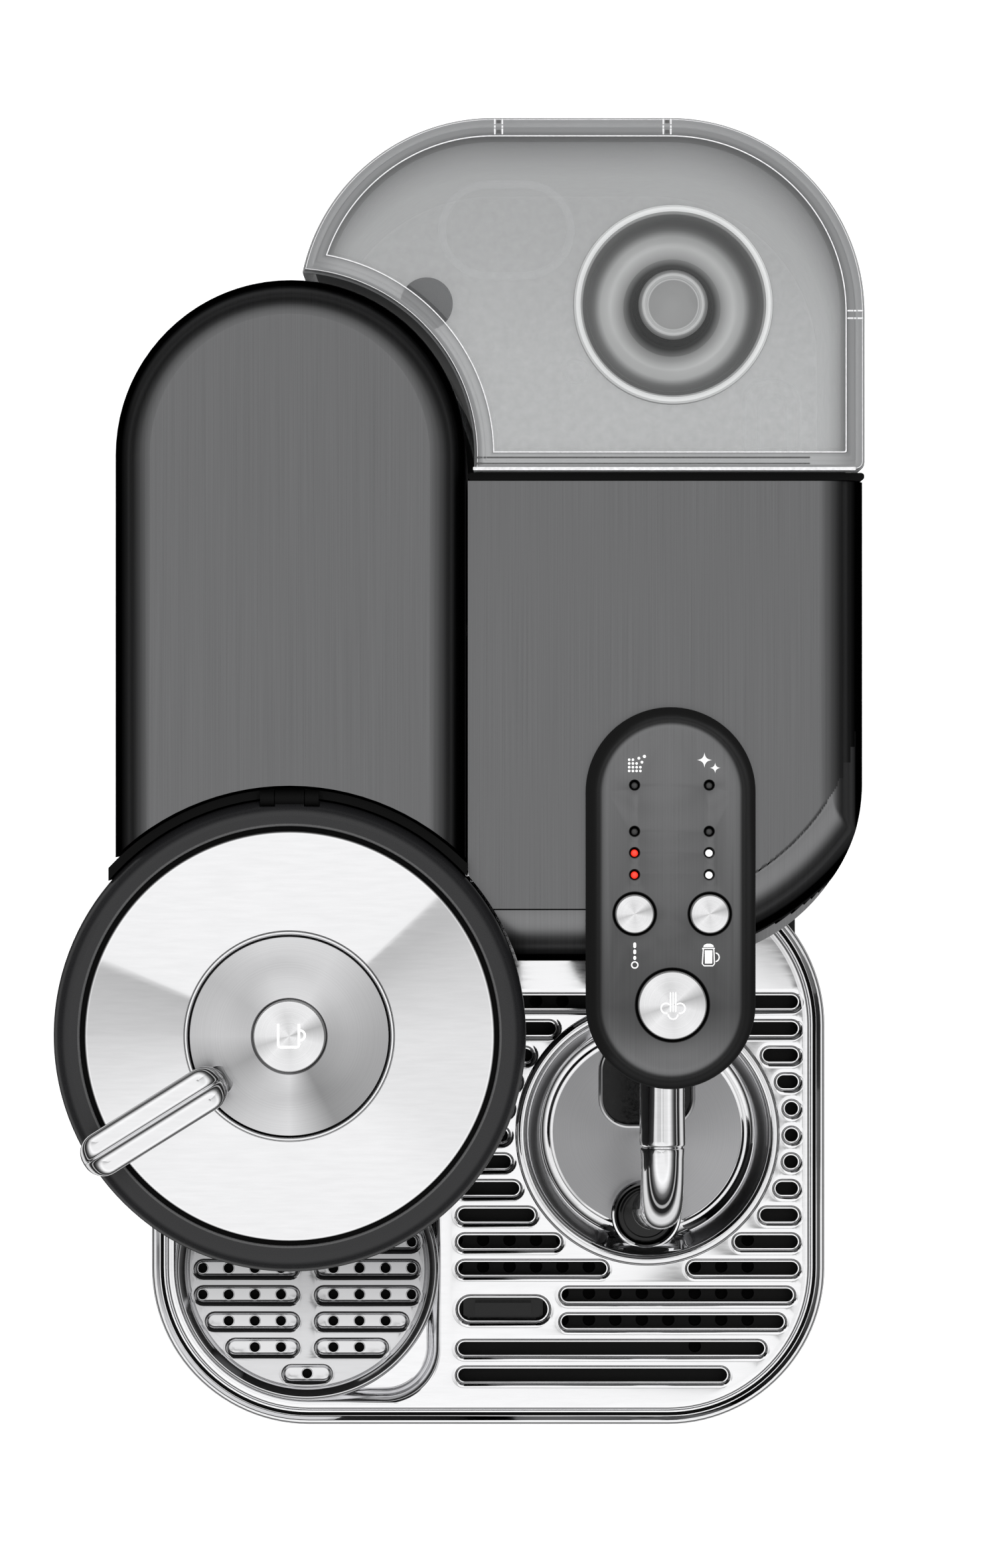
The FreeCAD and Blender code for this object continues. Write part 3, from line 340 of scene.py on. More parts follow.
# painted highlights by turn about each key's middle, and a faint painted glow
BUTTON_STEEL, STEAM_STEEL, TEMPERATURE_STEEL, FOAM_STEEL = [
    glow(spun_metal(name, middle, (0.88, 0.88, 0.89), 0.24, [
        (0, 0.9), (0.05, 0.62), (0.13, 1.0), (0.26, 0.86), (0.36, 1.0), (0.46, 0.97), (0.55, 0.5),
        (0.62, 1.0), (0.78, 0.88), (0.88, 1.0), (1, 0.9)]), 0.1)
    for name, middle in (("button_steel", HEAD), ("steam_steel", STEAM_KEY),
                         ("temperature_steel", TEMPERATURE_KEY), ("foam_steel", FOAM_KEY))]
CUP_STEEL = polished("cup_steel", (0.62, 0.62, 0.63), 0.08, 0.12)
PILL_STEEL = polished("pill_steel", (0.7, 0.7, 0.71), 0.12, 0.05)
# painted shade: darker towards the back
for steel in (CUP_STEEL, PILL_STEEL):
    painted_light_along_y(steel, [(-0.2, 1.2), (-0.18, 1.15), (-0.165, 0.85), (-0.15, 0.55)])
BLACK_SATIN = moulded("black_satin", (0.012, 0.012, 0.013), 0.3, 2600, 0.03, Specular_IOR_Level=0.45)
BLACK_GLOSS = moulded("black_gloss", (0.005, 0.005, 0.005), 0.12, 900, 0.01, Specular_IOR_Level=0.35)
BLACK_MATT = moulded("black_matt", (0.009, 0.009, 0.0095), 0.55, 3000, Specular_IOR_Level=0.3)
BLACK_DEEP = moulded("black_deep", (0.003, 0.003, 0.003), 0.6, 2000, Specular_IOR_Level=0.08)
STRAINER = moulded("strainer_black", (0.007, 0.007, 0.007), 0.4, 1500, 0.03, Specular_IOR_Level=0.12)
EDGE_GREY = moulded("edge_grey", (0.07, 0.07, 0.071), 0.3, 1500, 0.02)
RUBBER = moulded("rubber", (0.025, 0.025, 0.025), 0.8, 1800, 0.15)
GREY_PLASTIC = moulded("grey_plastic", (0.3, 0.3, 0.31), 0.5, 2500)
WHITE_PLASTIC = moulded("white_plastic", (0.75, 0.75, 0.73), 0.45, 2500)
GREEN_BOARD = moulded("green_board", (0.02, 0.13, 0.06), 0.4, 1500)
ALLOY = moulded("cast_alloy", (0.5, 0.5, 0.51), 0.5, 900, 0.2, Metallic=1.0)
WIRE = polished("spring_wire", (0.6, 0.6, 0.61), 0.25)
SILICONE = moulded("silicone", (0.7, 0.7, 0.67), 0.5, 700)
SMOKE = clear_plastic("smoke_clear", (0.42, 0.43, 0.44), 0.42)
LID_CLEAR = clear_plastic("lid_clear", (0.55, 0.56, 0.57), 0.14)
RIM_CLEAR = clear_plastic("rim_clear", (0.34, 0.345, 0.35), 0.6)
# painted highlights: the bright lines along the lid's edges
EDGE_HIGHLIGHT = moulded("edge_highlight", (0.72, 0.72, 0.73), 0.2, 900, 0.02)
# smoked plastic with painted rings of light and shade in the lid's bowl
DISH_PAINTED_RINGS = ringed("dish_smoke_painted_rings", LID_BOWL, 32, (0.72, 0.73, 0.73), [
    (0, 0.34), (7.4, 0.3), (8.0, 0.75), (9.2, 0.55), (10.0, 0.3), (10.8, 0.12), (13, 0.1), (15.5, 0.35),
    (19, 0.62), (22, 0.6), (24, 0.3), (26.2, 0.13), (27.6, 0.12), (27.9, 0.85), (30.4, 0.95), (32, 0.6)])
FROST = moulded("frosted_floor", (0.55, 0.56, 0.56), 0.4, 300, 0.02)
FROST_WALL = moulded("frosted_wall", (0.5, 0.51, 0.51), 0.5, 300, 0.02, Specular_IOR_Level=0.1)
# painted shade: the inner wall darkens towards its top, with a painted glow
shade_wall(FROST_WALL, 0.02, 0.281, [
    (0, 1.0), (0.3, 0.95), (0.5, 0.75), (0.65, 0.5), (0.75, 0.3), (0.84, 0.14), (0.92, 0.05), (1.0, 0.01)])
# painted shade: darker towards the back wall
for frosted in (FROST, FROST_WALL):
    painted_light_along_y(frosted, [(0.1, 1.0), (0.15, 0.95), (0.19, 0.66), (0.21, 0.6)])
# painted glow standing in for light through the clear walls
glow(FROST, 0.2)
# the print is white; its glow is painted light that lifts it
PRINT = glow(moulded("printed_white", (0.85, 0.85, 0.85), 0.5, 4000, 0.02), 0.35)
RED_LIGHT, WHITE_LIGHT = [glow(new_material(name, color, 0.0, 0.3)[0], 0.9, color) for name, color in (
    ("red_light", (0.9, 0.03, 0.015)), ("white_light", (1.0, 1.0, 1.0)))]
DARK_LIGHT = moulded("dark_light", (0.03, 0.03, 0.03), 0.25, 2000, 0.02)

SLOT_LOOKS = {
    "dark_steel": DARK_STEEL, "black_gloss": BLACK_GLOSS, "black_plastic": BLACK_MATT,
    "polished_steel": CHROME, "satin_steel": DISC_STEEL, "mirror_steel": MIRROR,
    "smoke_clear": SMOKE, "rubber": RUBBER, "grey_plastic": GREY_PLASTIC, "cast_alloy": ALLOY,
    "spring_steel": WIRE, "zinc_steel": WIRE, "circuit_green": GREEN_BOARD, "silicone": SILICONE,
    "lens_clear": DARK_LIGHT, "white_plastic": WHITE_PLASTIC,
}
OWN_LOOKS = {"head_housing": BLACK_SATIN, "head_collar": BLACK_DEEP, "back_strip": BLACK_DEEP,
             "head_hinge_pin": BLACK_DEEP}


def smooth(mesh, sharp=SHARP):
    """Soft shading, with hard edges where faces turn by more than sharp degrees."""
    mesh.shade_smooth()
    mesh.set_sharp_from_angle(angle=math.radians(sharp))


def dress_frame():
    """Every CAD node takes its own look or that of its slot."""
    slot_of = {part["node"]: part["material_slot"] for part in frame["record"]["subparts"]}
    for name, node in nodes.items():
        node.data.materials.clear()
        node.data.materials.append(OWN_LOOKS.get(name, SLOT_LOOKS[slot_of[name]]))
        node.data.polygons.foreach_set("material_index", [0] * len(node.data.polygons))
        smooth(node.data)
    # the housing's knuckle, beyond its round wall, is as black as the collar's ears beside it
    housing = nodes["head_housing"]
    housing.data.materials.append(BLACK_DEEP)
    reach = corners_of("head_housing")[1][0] - HEAD[0] + 0.05
    knuckle_half, hidden_edge = 4.6, 1.6
    for face in housing.data.polygons:
        x, y, _ = housing.matrix_world @ face.center / MM
        beside_hinge = abs(x - HEAD[0]) < knuckle_half and y - HEAD[1] > reach - hidden_edge
        if beside_hinge or math.hypot(x - HEAD[0], y - HEAD[1]) > reach:
            face.material_index = 1


# ---------------------------------------------------------------- mesh making


def arc(x, y, radius, start, end, count):
    """Points on an arc, angles in degrees."""
    angles = np.radians(np.linspace(start, end, count))
    return np.column_stack([x + radius * np.cos(angles), y + radius * np.sin(angles)])


def ring(x, y, radius, count=96):
    return arc(x, y, radius, 0, 360, count + 1)[:-1]


def rounded(left, front, right, back, radii, count=24):
    """A rectangle's loop, anticlockwise, with radii for its front-left, front-right, back-right
    and back-left corners."""
    if not hasattr(radii, "__len__"):
        radii = [radii] * 4
    a, b, c, d = radii
    return np.vstack([
        arc(left + a, front + a, a, 180, 270, count), arc(right - b, front + b, b, 270, 360, count),
        arc(right - c, back - c, c, 0, 90, count), arc(left + d, back - d, d, 90, 180, count),
    ])


def obround(left, right, y, height, grow=0.0, count=13):
    """A slot's loop, anticlockwise."""
    half = height / 2
    return np.vstack([
        arc(right - half, y, half + grow, -90, 90, count), arc(left + half, y, half + grow, 90, 270, count)
    ])


class Shape:
    """Vertices and faces gathered in millimetres, made into one object at the end."""

    def __init__(self):
        self.points, self.faces, self.kinds = [], [], []

    def loft(self, rings, kind=0, closed=True, inward=False):
        """A skin over loops of (x, y, z) points that all have the same count."""
        base, count = len(self.points), len(rings[0])
        for loop in rings:
            self.points.extend(map(tuple, loop))
        span = count if closed else count - 1
        for level in range(len(rings) - 1):
            for at in range(span):
                a, b = base + level * count + at, base + level * count + (at + 1) % count
                face = (a, b, b + count, a + count)
                self.faces.append(face[::-1] if inward else face)
                self.kinds.append(kind)

    def stack(self, loops, kind=0, inward=False):
        """A skin over flat loops, each given as (loop, z)."""
        self.loft([np.column_stack([loop, np.full(len(loop), z)]) for loop, z in loops], kind,
                  True, inward)

    def sweep(self, loop_at, profile, z=0.0, kind=0):
        """A skin over loop_at(distance) along a profile of (distance, height above z)."""
        self.stack([(loop_at(out), z + rise) for out, rise in profile], kind)

    def lathe(self, x, y, profile, kind=0, count=96):
        """A skin turned about an upright axis: the profile runs up the outside and in over the top."""
        self.stack([(ring(x, y, max(radius, 1e-3), count), z) for radius, z in profile], kind)

    def flat(self, outer, holes, z, kind=0, up=True):
        """A flat sheet inside the outer loop and outside the holes."""
        loops = [outer, *holes]
        points = [Vector(p) for loop in loops for p in loop]
        edges, start = [], 0
        for loop in loops:
            count = len(loop)
            edges += [(start + i, start + (i + 1) % count) for i in range(count)]
            start += count
        found, _, faces, *_ = geometry.delaunay_2d_cdt(points, edges, [], 1, 1e-6)
        base = len(self.points)
        self.points.extend((p.x, p.y, z) for p in found)
        for face in faces:
            middle = sum((found[i] for i in face), Vector((0, 0))) / len(face)
            if not inside(middle, outer) or any(inside(middle, hole) for hole in holes):
                continue
            a, b, c = (found[i] for i in face[:3])
            turned_up = (b - a).cross(c - a) > 0
            order = face if turned_up == up else face[::-1]
            self.faces.append(tuple(base + i for i in order))
            self.kinds.append(kind)

    def link(self, name, materials=()):
        """A new object in metres, with its doubled vertices welded."""
        mesh = bpy.data.meshes.new(name)
        mesh.from_pydata([tuple(c * MM for c in p) for p in self.points], [], self.faces)
        for material in materials:
            mesh.materials.append(material)
        mesh.polygons.foreach_set("material_index", self.kinds)
        welded = bmesh.new()
        welded.from_mesh(mesh)
        bmesh.ops.remove_doubles(welded, verts=welded.verts, dist=1e-6)
        welded.to_mesh(mesh)
        welded.free()
        piece = bpy.data.objects.new(name, mesh)
        bpy.context.scene.collection.objects.link(piece)
        return piece

    def make(self, name, body, slot, materials, replaces=(), sharp=SHARP):
        """The finished piece: it rides its body and may replace CAD nodes."""
        piece = self.link(name, materials)
        piece.data.validate()
        smooth(piece.data, sharp)
        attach(piece, body)
        if replaces:
            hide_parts(*replaces)
        return piece


def inside(point, loop):
    """Is the point inside the loop? Counts the loop's crossings to its right."""
    x, y = point
    px, py = loop[:, 0], loop[:, 1]
    qx, qy = np.roll(px, -1), np.roll(py, -1)
    crossing = (py > y) != (qy > y)
    with np.errstate(divide="ignore", invalid="ignore"):
        at = px + (y - py) * (qx - px) / (qy - py)
    return int(np.count_nonzero(crossing & (at > x))) % 2 == 1


def turned(name, body, slot, materials, replaces, middle, profile, count):
    """A piece with one lathed skin about an upright axis."""
    shape = Shape()
    shape.lathe(middle[0], middle[1], profile, count=count)
    shape.make(name, body, slot, materials, replaces)


def carve(piece, *shapes):
    """Cut closed shapes out of the piece for good."""
    cutters = [shape.link("cutter") for shape in shapes]
    for cutter in cutters:
        change = piece.modifiers.new("cut", "BOOLEAN")
        change.operation = "DIFFERENCE"
        change.object = cutter
    bpy.context.view_layer.update()
    seen = piece.evaluated_get(bpy.context.evaluated_depsgraph_get())
    mesh = bpy.data.meshes.new_from_object(seen)
    piece.modifiers.clear()
    piece.data = mesh
    smooth(mesh)
    for cutter in cutters:
        bpy.data.objects.remove(cutter)


def prism(loop, low, high):
    """A closed upright prism on a loop."""
    shape = Shape()
    shape.stack([(loop, low), (loop, high)])
    shape.flat(loop, [], low, up=False)
    shape.flat(loop, [], high)
    return shape


# ---------------------------------------------------------------- drip tray and grille


TRAY_CORNER = 53.1


def tray_loop(inset):
    low, high = corners_of("drip_tray")
    return rounded(low[0] + inset, low[1] + inset, high[0] - inset, high[1] - inset,
                   TRAY_CORNER - inset, 28)


def make_tray():
    """The polished pan: a flat turned rim round a deep well, with a dark groove inside the rim, whose black
    is painted shade.
    """
    low, high = corners_of("drip_tray")
    top, bottom = high[2], low[2]
    ledge, pan_floor, groove = 38, 10.8, top - 2.2
    shape = Shape()
    rim = [(0.6, bottom), (0, bottom + 1.5), (0, top - 1.5), (0.06, top - 0.95), (0.2, top - 0.6),
           (0.4, top - 0.37), (0.65, top - 0.2), (0.95, top - 0.07), (1.25, top), (1.45, top - 0.03),
           (1.65, top - 0.13), (2.6, top - 0.87), (2.75, top - 0.93), (2.95, top - 0.95),
           (3.0, top - 1.3), (3.0, top - 3), (3.0, ledge), (7.5, ledge), (7.5, 13), (9, 11),
           (11, pan_floor)]
    shape.sweep(tray_loop, rim)
    shape.flat(tray_loop(11), [], pan_floor)
    shape.flat(tray_loop(0.6), [], bottom, up=False)
    # painted shade: a black sheet closes the groove inside the rim
    shape.sweep(tray_loop, [(2.98, 0), (3.9, 0)], groove, kind=1)
    shape.make("drip_tray_steel", "tray", "polished_steel", [CHROME, BLACK_DEEP], ["drip_tray"])


SLOT_PITCH = 9.03
SLOT_HEIGHT = 5.0
FIRST_SLOT_Y = -67.4
SLOT_ROWS = 15
SLOT_LEFT, SLOT_RIGHT = -2, 113.7
# the rows that begin or end elsewhere: behind the cup support, beside the float, and at the corner
SLOT_LEFTS = {0: -60, 1: -60, 2: -60, 3: -60, 11: 33, 12: 33}
SLOT_RIGHTS = {11: 112, 12: 108.9, 13: 102.3, 14: 89.7}
FLOAT_SLOT = (-1.7, 28.9, -171.5, 8.4)  # left, right, y and height
NEST_CLEARANCE = 47.0  # slots keep this far from the nest's middle


def slot_runs():
    """The grille's slots as (left, right, y), cut back where the jug nest stands."""
    for row in range(SLOT_ROWS):
        y = FIRST_SLOT_Y - SLOT_PITCH * row
        left, right = SLOT_LEFTS.get(row, SLOT_LEFT), SLOT_RIGHTS.get(row, SLOT_RIGHT)
        reach = NEST_CLEARANCE ** 2 - (y - NEST[1]) ** 2
        if row and reach > 0:
            half = math.sqrt(reach) + (3 if row == 10 else 0)
            yield left, NEST[0] - half, y
            # beside the nest's middle there is only a round hole
            yield min(NEST[0] + half, right - SLOT_HEIGHT - 0.05), right, y
        else:
            yield left, right, y


NEST_OPENING = 42.4
# the pressed edge of a slot, as (distance out from the slot's wall, height above the sheet):
# it rolls down from the sheet and ends in a thin flat lip
PRESSED_EDGE = [(2.0, 0), (1.75, -0.01), (1.5, -0.03), (1.25, -0.07), (1.05, -0.12), (0.88, -0.19),
                (0.72, -0.28), (0.57, -0.39), (0.43, -0.52), (0.31, -0.67), (0.22, -0.83), (0.15, -0.96),
                (0.1, -1.01), (-0.26, -1.03), (-0.31, -1.1), (-0.32, -2.6)]


def make_grille():
    """The pressed sheet with its slots, the float's window and the cup support's pocket."""
    top = corners_of("drip_grille")[1][2] - 0.4
    underside, pocket_floor, drain_low = top - 2.6, top - 6.7, top - 8.5
    shape = Shape()
    skirt = [(6.4, 39.5), (4.4, 39.5), (4.0, 40), (4.0, top - 2.0), (4.05, top - 1.75), (4.2, top - 1.7),
             (4.5, top - 1.68), (4.6, top - 1.5), (4.85, top - 1.05), (5.15, top - 0.7), (5.5, top - 0.42),
             (5.95, top - 0.2), (6.5, top - 0.07), (7.1, top), (7.4, top)]
    shape.sweep(tray_loop, skirt)
    holes = []

    def press(loop_at, edge):
        """Press a hole whose loop, grown by a distance, is given by loop_at."""
        holes.append(loop_at(edge[0][0]))
        shape.sweep(loop_at, edge, top)

    for left, right, y in slot_runs():
        press(lambda grow, a=left, b=right, c=y: obround(a, b, c, SLOT_HEIGHT, grow), PRESSED_EDGE)
    deep = [(out * 1.1, rise * 1.1) for out, rise in PRESSED_EDGE[:-1]] + [(0, -2.9)]
    press(lambda grow: obround(*FLOAT_SLOT, grow), deep)
    holes.append(ring(NEST[0], NEST[1], NEST_OPENING))

    def pocket_loop(grow):
        return rounded(-98.6 - grow, -203.6 - grow, -7.5 + grow, -108 + grow,
                       [46.2 + grow, 19 + grow, 8 + grow, 8 + grow], 24)

    # the pocket's rolled edge ends on its sunken floor
    pocket_edge = [(0.1, 0), (0, 0), (-0.4, -0.05), (-0.7, -0.2), (-1.0, -0.42), (-1.5, -0.86), (-2.5, -1.9),
                   (-3.3, -2.8), (-3.7, -4.6), (-4.0, -5.8), (-4.5, -6.4), (-5, -6.7), (-5.2, -6.7)]
    press(pocket_loop, pocket_edge)
    drains = [obround(-80, -25, y, 5) for y in (-187, -172, -157, -142, -127)]
    shape.flat(pocket_loop(-5.2), drains, pocket_floor)
    for drain in drains:
        shape.stack([(drain, pocket_floor), (drain, drain_low)])
    shape.flat(tray_loop(7.4), holes, top)
    shape.flat(tray_loop(6.4), holes, underside, up=False)
    shape.make("grille_steel", "grille", "polished_steel", [PRESSED_STEEL], ["drip_grille"])


def make_strainer():
    """The tray's dark strainer with its rows of holes, which shows through the grille's slots."""
    level, hole_low = 37.6, 33
    strainer = Shape()
    # the holes' places in their grid: each is seen through the slot of its row
    spots = [(n, row) for row in (9, 10, 11, 12) for n in range(-12, 7)] + [(4, 13), (-2, 0), (-1, 0)]
    drops = []
    for n, row in spots:
        spot = (42.7 + 9 * n, FIRST_SLOT_Y - SLOT_PITCH * row)
        if inside(spot, tray_loop(14)) and math.dist(spot, (NEST[0], NEST[1])) > 42:
            drops.append(ring(*spot, 2.15, 20))
    # it is open under the jug nest, whose well and sensor hang through it
    strainer.flat(tray_loop(8.2), [*drops, ring(NEST[0], NEST[1], 40)], level)
    for drop in drops:
        # painted shade: each hole is a closed cup in black that stands for its depth
        strainer.stack([(drop, level), (drop, hole_low)], kind=1)
        strainer.flat(drop, [], hole_low, kind=1)
    strainer.make("tray_strainer", "tray", "black_plastic", [STRAINER, BLACK_DEEP])


NEST_FLOOR = 39.2


def make_nest():
    """The jug's spun dish with its rolled rim, two openings in its floor, the black well below one
    and the sensor's cap in the other."""
    x, y = 62.4, -111.9
    top, spun_radius, pool = 50.2, 32.2, 34
    shape = Shape()
    profile = [
        (0.01, 37), (33, 37), (36.5, 38.2), (40.2, 44), (41.6, 46.5), (43.4, 48.2), (44.6, 48.7),
        (44.8, 49.1), (44.4, 49.7), (43.7, 50.1), (43, top), (42.2, 50.1), (41.5, 49.7),
        (41, 48.9), (40.6, 47.6), (39.6, 45.4), (37.6, 42.2), (36.2, 40.4), (35, 39.6), (34, 39.35),
        (33.6, 39.5), (33.1, 39.55), (32.6, 39.3), (32, NEST_FLOOR),
        (31.8, NEST_FLOOR), (10, NEST_FLOOR), (0.01, NEST_FLOOR),
    ]
    shape.lathe(x, y, profile, count=144)
    piece = shape.make("jug_nest_steel", "grille", "polished_steel", [CHROME, NEST_STEEL], ["jug_nest"])
    sensor = middle_of("temperature_sensor")

    def well_loop(grow):
        return rounded(x - 15 - grow, NEST[1] + 2.6 - grow, x + 15 + grow, NEST[1] + 30 + grow, 9 + grow, 16)

    well = well_loop(0)
    carve(piece, prism(ring(sensor[0], sensor[1], 11.2, 64), 30, 60), prism(well, 30, 46))
    # the carved mesh keeps one kind of face, so its spun floor is found again
    for face in piece.data.polygons:
        centre = face.center / MM
        if math.dist(centre[:2], (x, y)) < spun_radius and face.normal.z > 0.9:
            face.material_index = 1
    # the rolled collars of the two openings
    collars = Shape()
    roll = [(1.5, 0), (1.2, 0.55), (0.6, 0.85), (0.1, 0.6), (0, 0), (0, -2.5)]
    collars.sweep(well_loop, roll, NEST_FLOOR)
    lip = [(11.9, 39.3), (11.9, 43.2), (11.5, 43.8), (10.9, 44), (10.3, 43.6), (10.1, 42.8),
           (10.1, 38)]
    collars.lathe(sensor[0], sensor[1], lip, count=64)
    collars.make("nest_collars", "grille", "polished_steel", [CHROME])
    black = Shape()
    black.flat(well, [], pool)
    black.stack([(well, pool), (well, 39)], inward=True)
    black.lathe(x + 6, -100, [(6.5, pool), (6.5, 36.4), (5.9, 37), (4.2, 37), (3.6, 36.2), (0.01, 36)],
               count=40)
    black.make("nest_well_black", "grille", "black_gloss", [BLACK_GLOSS], ["nest_well"])
    turned("sensor_cap", "sensor", "black_gloss", [BLACK_GLOSS], ["temperature_sensor"], sensor, [
        (9.7, 36), (9.7, 41), (9.4, 41.8), (8.6, 42.2), (7.9, 42.2), (7.5, 41.9), (6, 42.1), (3, 42.3),
        (0.01, 42.35)], 64)


# holes on each side of the cup support's middle, from its back row to its front row
PILL_ROWS = [0, 2, 3, 4, 4, 4, 3, 2, 0]
PILL_ENDS = {2: 26.7, 3: 33.6, 4: 37.4}


def make_cup_support():
    """The round plate: rows of sunken pills in its top, with a raised hole at each of their places."""
    x, y, _ = middle_of("cup_support")
    top, sunken = 52.6, 1.4
    pitch, row_pitch = 8.85, 8.9
    shape = Shape()
    outer = corners_of("cup_support")[1][0] - x
    rim = [(-2.2, 42), (-0.6, 42), (0, 42.6), (0, 51.2), (-0.15, 52.4), (-0.5, 53.2), (-0.9, 53.6),
           (-1.3, 53.7), (-1.6, 53.55), (-2.9, 52.7), (-3.9, 51.98), (-4.1, 51.7), (-4.25, 51.65),
           (-4.4, 51.8), (-4.6, 52.3), (-4.8, top - 0.1), (-5.2, top)]
    shape.lathe(x, y, [(outer + out, z) for out, z in rim], count=160)
    shape.lathe(x, y, [(outer - 2.2, 48), (outer - 2.2, 42)], count=160)
    holes, pills = [], []
    for row, count in enumerate(PILL_ROWS):
        at = y + row_pitch * (4 - row)
        if count == 0:
            pills.append((-7.7, 7.7, at, [0]))
            continue
        end = PILL_ENDS[count]
        places = [pitch * (n + 1) for n in range(count)]
        pills.append((3.3, end, at, places))
        pills.append((-end, -3.3, at, [-p for p in places]))
    edge = [(1.7, 0), (1.4, -0.03), (1.15, -0.1), (0.95, -0.2), (0.75, -0.35), (0.35, -0.68), (0.15, -0.85),
            (0.0, -1.05), (-0.15, -1.25), (-0.3, -1.36), (-0.5, -sunken)]
    drop_rim = [(2.0, 0), (1.9, 0.12), (1.7, 0.14), (1.6, 0), (1.55, -0.5), (1.55, -2)]
    for left, right, at, places in pills:
        def pill(grow, a=left, b=right, c=at):
            return obround(x + a, x + b, c, 4.6, grow, 11)
        holes.append(pill(edge[0][0]))
        shape.sweep(pill, edge, top)
        drops = [ring(x + p, at, drop_rim[0][0], 24) for p in places]
        shape.flat(pill(edge[-1][0]), drops, top - sunken, kind=1)
        for p in places:
            shape.sweep(lambda radius, a=x + p, b=at: ring(a, b, radius, 24), drop_rim, top - sunken)
    shape.flat(ring(x, y, outer - 5.2, 160), holes, top)
    shape.make("cup_support_steel", "cup_support", "polished_steel", [CUP_STEEL, PILL_STEEL],
               ["cup_support"])
    # painted shade: a black disc under the top stands for the dark inside the drum
    below = Shape()
    below.flat(ring(x, y, outer - 2, 64), [], 48)
    below.flat(ring(x, y, outer - 2, 64), [], 47.5, up=False)
    below.make("cup_support_shade_disc", "cup_support", "polished_steel", [BLACK_DEEP])


# ---------------------------------------------------------------- body


HEAD_ROOM = 73  # the body keeps this far from the head's middle
BODY_CORNER = 56.2
OVERHANG_BACK, OVERHANG_LOW, BODY_LOW = -20, 52, 12.3  # the front part stands over the tray


def head_side(y, left):
    """Where the body begins at this y: it stops short of the round head."""
    reach = HEAD_ROOM ** 2 - (y - HEAD[1]) ** 2
    return max(left, HEAD[0] + math.sqrt(reach)) if reach > 0 else left


def body_loop(inset, count=90):
    """The body's open outline, from the head round the front right corner to the back."""
    low, high = corners_of("body_shell")
    left, right, front, back = low[0], high[0], low[1], high[1]
    radius = BODY_CORNER - inset
    cx, cy = right - BODY_CORNER, front + BODY_CORNER
    start = head_side(front + inset, left)
    return np.vstack([
        np.column_stack([np.linspace(start, cx, 8), np.full(8, front + inset)]),
        arc(cx, cy, radius, -90, 0, count)[1:],
        np.column_stack([np.full(20, right - inset), np.linspace(cy, back, 20)])[1:],
    ])


def make_body_shell():
    """The broad cover: its sides round over with one radius, and its front is a larger roll that
    begins at a crease. The crease curves round the corner and runs off over the side."""
    low, high = corners_of("body_shell")
    top, right, front, back, left = high[2], high[0], low[1], high[1], low[0]
    side_round, roll, step = 14, 17.0, 0.55
    crease_y, crease_radius = front + 16.2, 72
    cx, cy = right - crease_radius, crease_y + crease_radius

    def beyond_crease(x, y):
        if x < cx:
            return crease_y - y
        return math.hypot(x - cx, y - cy) - crease_radius if y < cy else -1

    def height(x, y):
        over = max(0, x - (right - side_round))
        side = top - side_round + math.sqrt(max(0, side_round ** 2 - over ** 2))
        out = beyond_crease(x, y)
        if out <= 0:
            return side
        fade = min(1, out / 0.35)
        return min(side, top - step * fade - roll + math.sqrt(max(0, roll ** 2 - out ** 2)))

    flat_inset = 28
    insets = [0, 0.02, 0.1, 0.25, 0.5, *np.arange(0.9, 22, 0.45), 24, 26, flat_inset]
    shape = Shape()

    def lifted(loop):
        return np.array([(x, y, height(x, y)) for x, y in loop])

    outline = body_loop(0)
    foot = np.array([(x, y, OVERHANG_LOW if y < OVERHANG_BACK else BODY_LOW) for x, y in outline])
    rings = [foot, lifted(outline)] + [lifted(body_loop(i)) for i in insets[1:]]
    shape.loft(rings, closed=False)
    shape.flat(np.vstack([body_loop(flat_inset), [(left, back)]]), [], top)
    # the wall of the hollow beside the head, and the underside over the tray
    edge_ys = [OVERHANG_BACK, *(front + np.array(insets[::-1]))]
    hollow = np.array([(head_side(y, left), y) for y in edge_ys])
    shape.loft([[(x, y, OVERHANG_LOW) for x, y in hollow], lifted(hollow)], closed=False, inward=True)
    overhang = np.array([p for p in outline if p[1] < OVERHANG_BACK])
    underside = np.vstack([overhang, [(left, overhang[-1][1])], hollow[1:-1]])
    shape.flat(underside, [], OVERHANG_LOW, up=False)
    piece = shape.make("body_cover_steel", "root", "dark_steel", [DARK_STEEL, ROLL_STEEL],
                       ["body_shell"], 40)
    # painted shade: faces beyond the crease take the roll's lighter copy, shaded as it turns down
    for face in piece.data.polygons:
        x, y, z = face.center / MM
        if z > 60 and face.normal.z > 0.05 and beyond_crease(x, y) > 0.2:
            face.material_index = 1


# ---------------------------------------------------------------- water tank


TANK_CORNER = 59.7
TANK_LEFT = -49.6
TANK_HOLLOW = 56.2
TANK_WALL = 2.5
COLUMN = np.array([middle_of("column_cover")[0], 107.0])


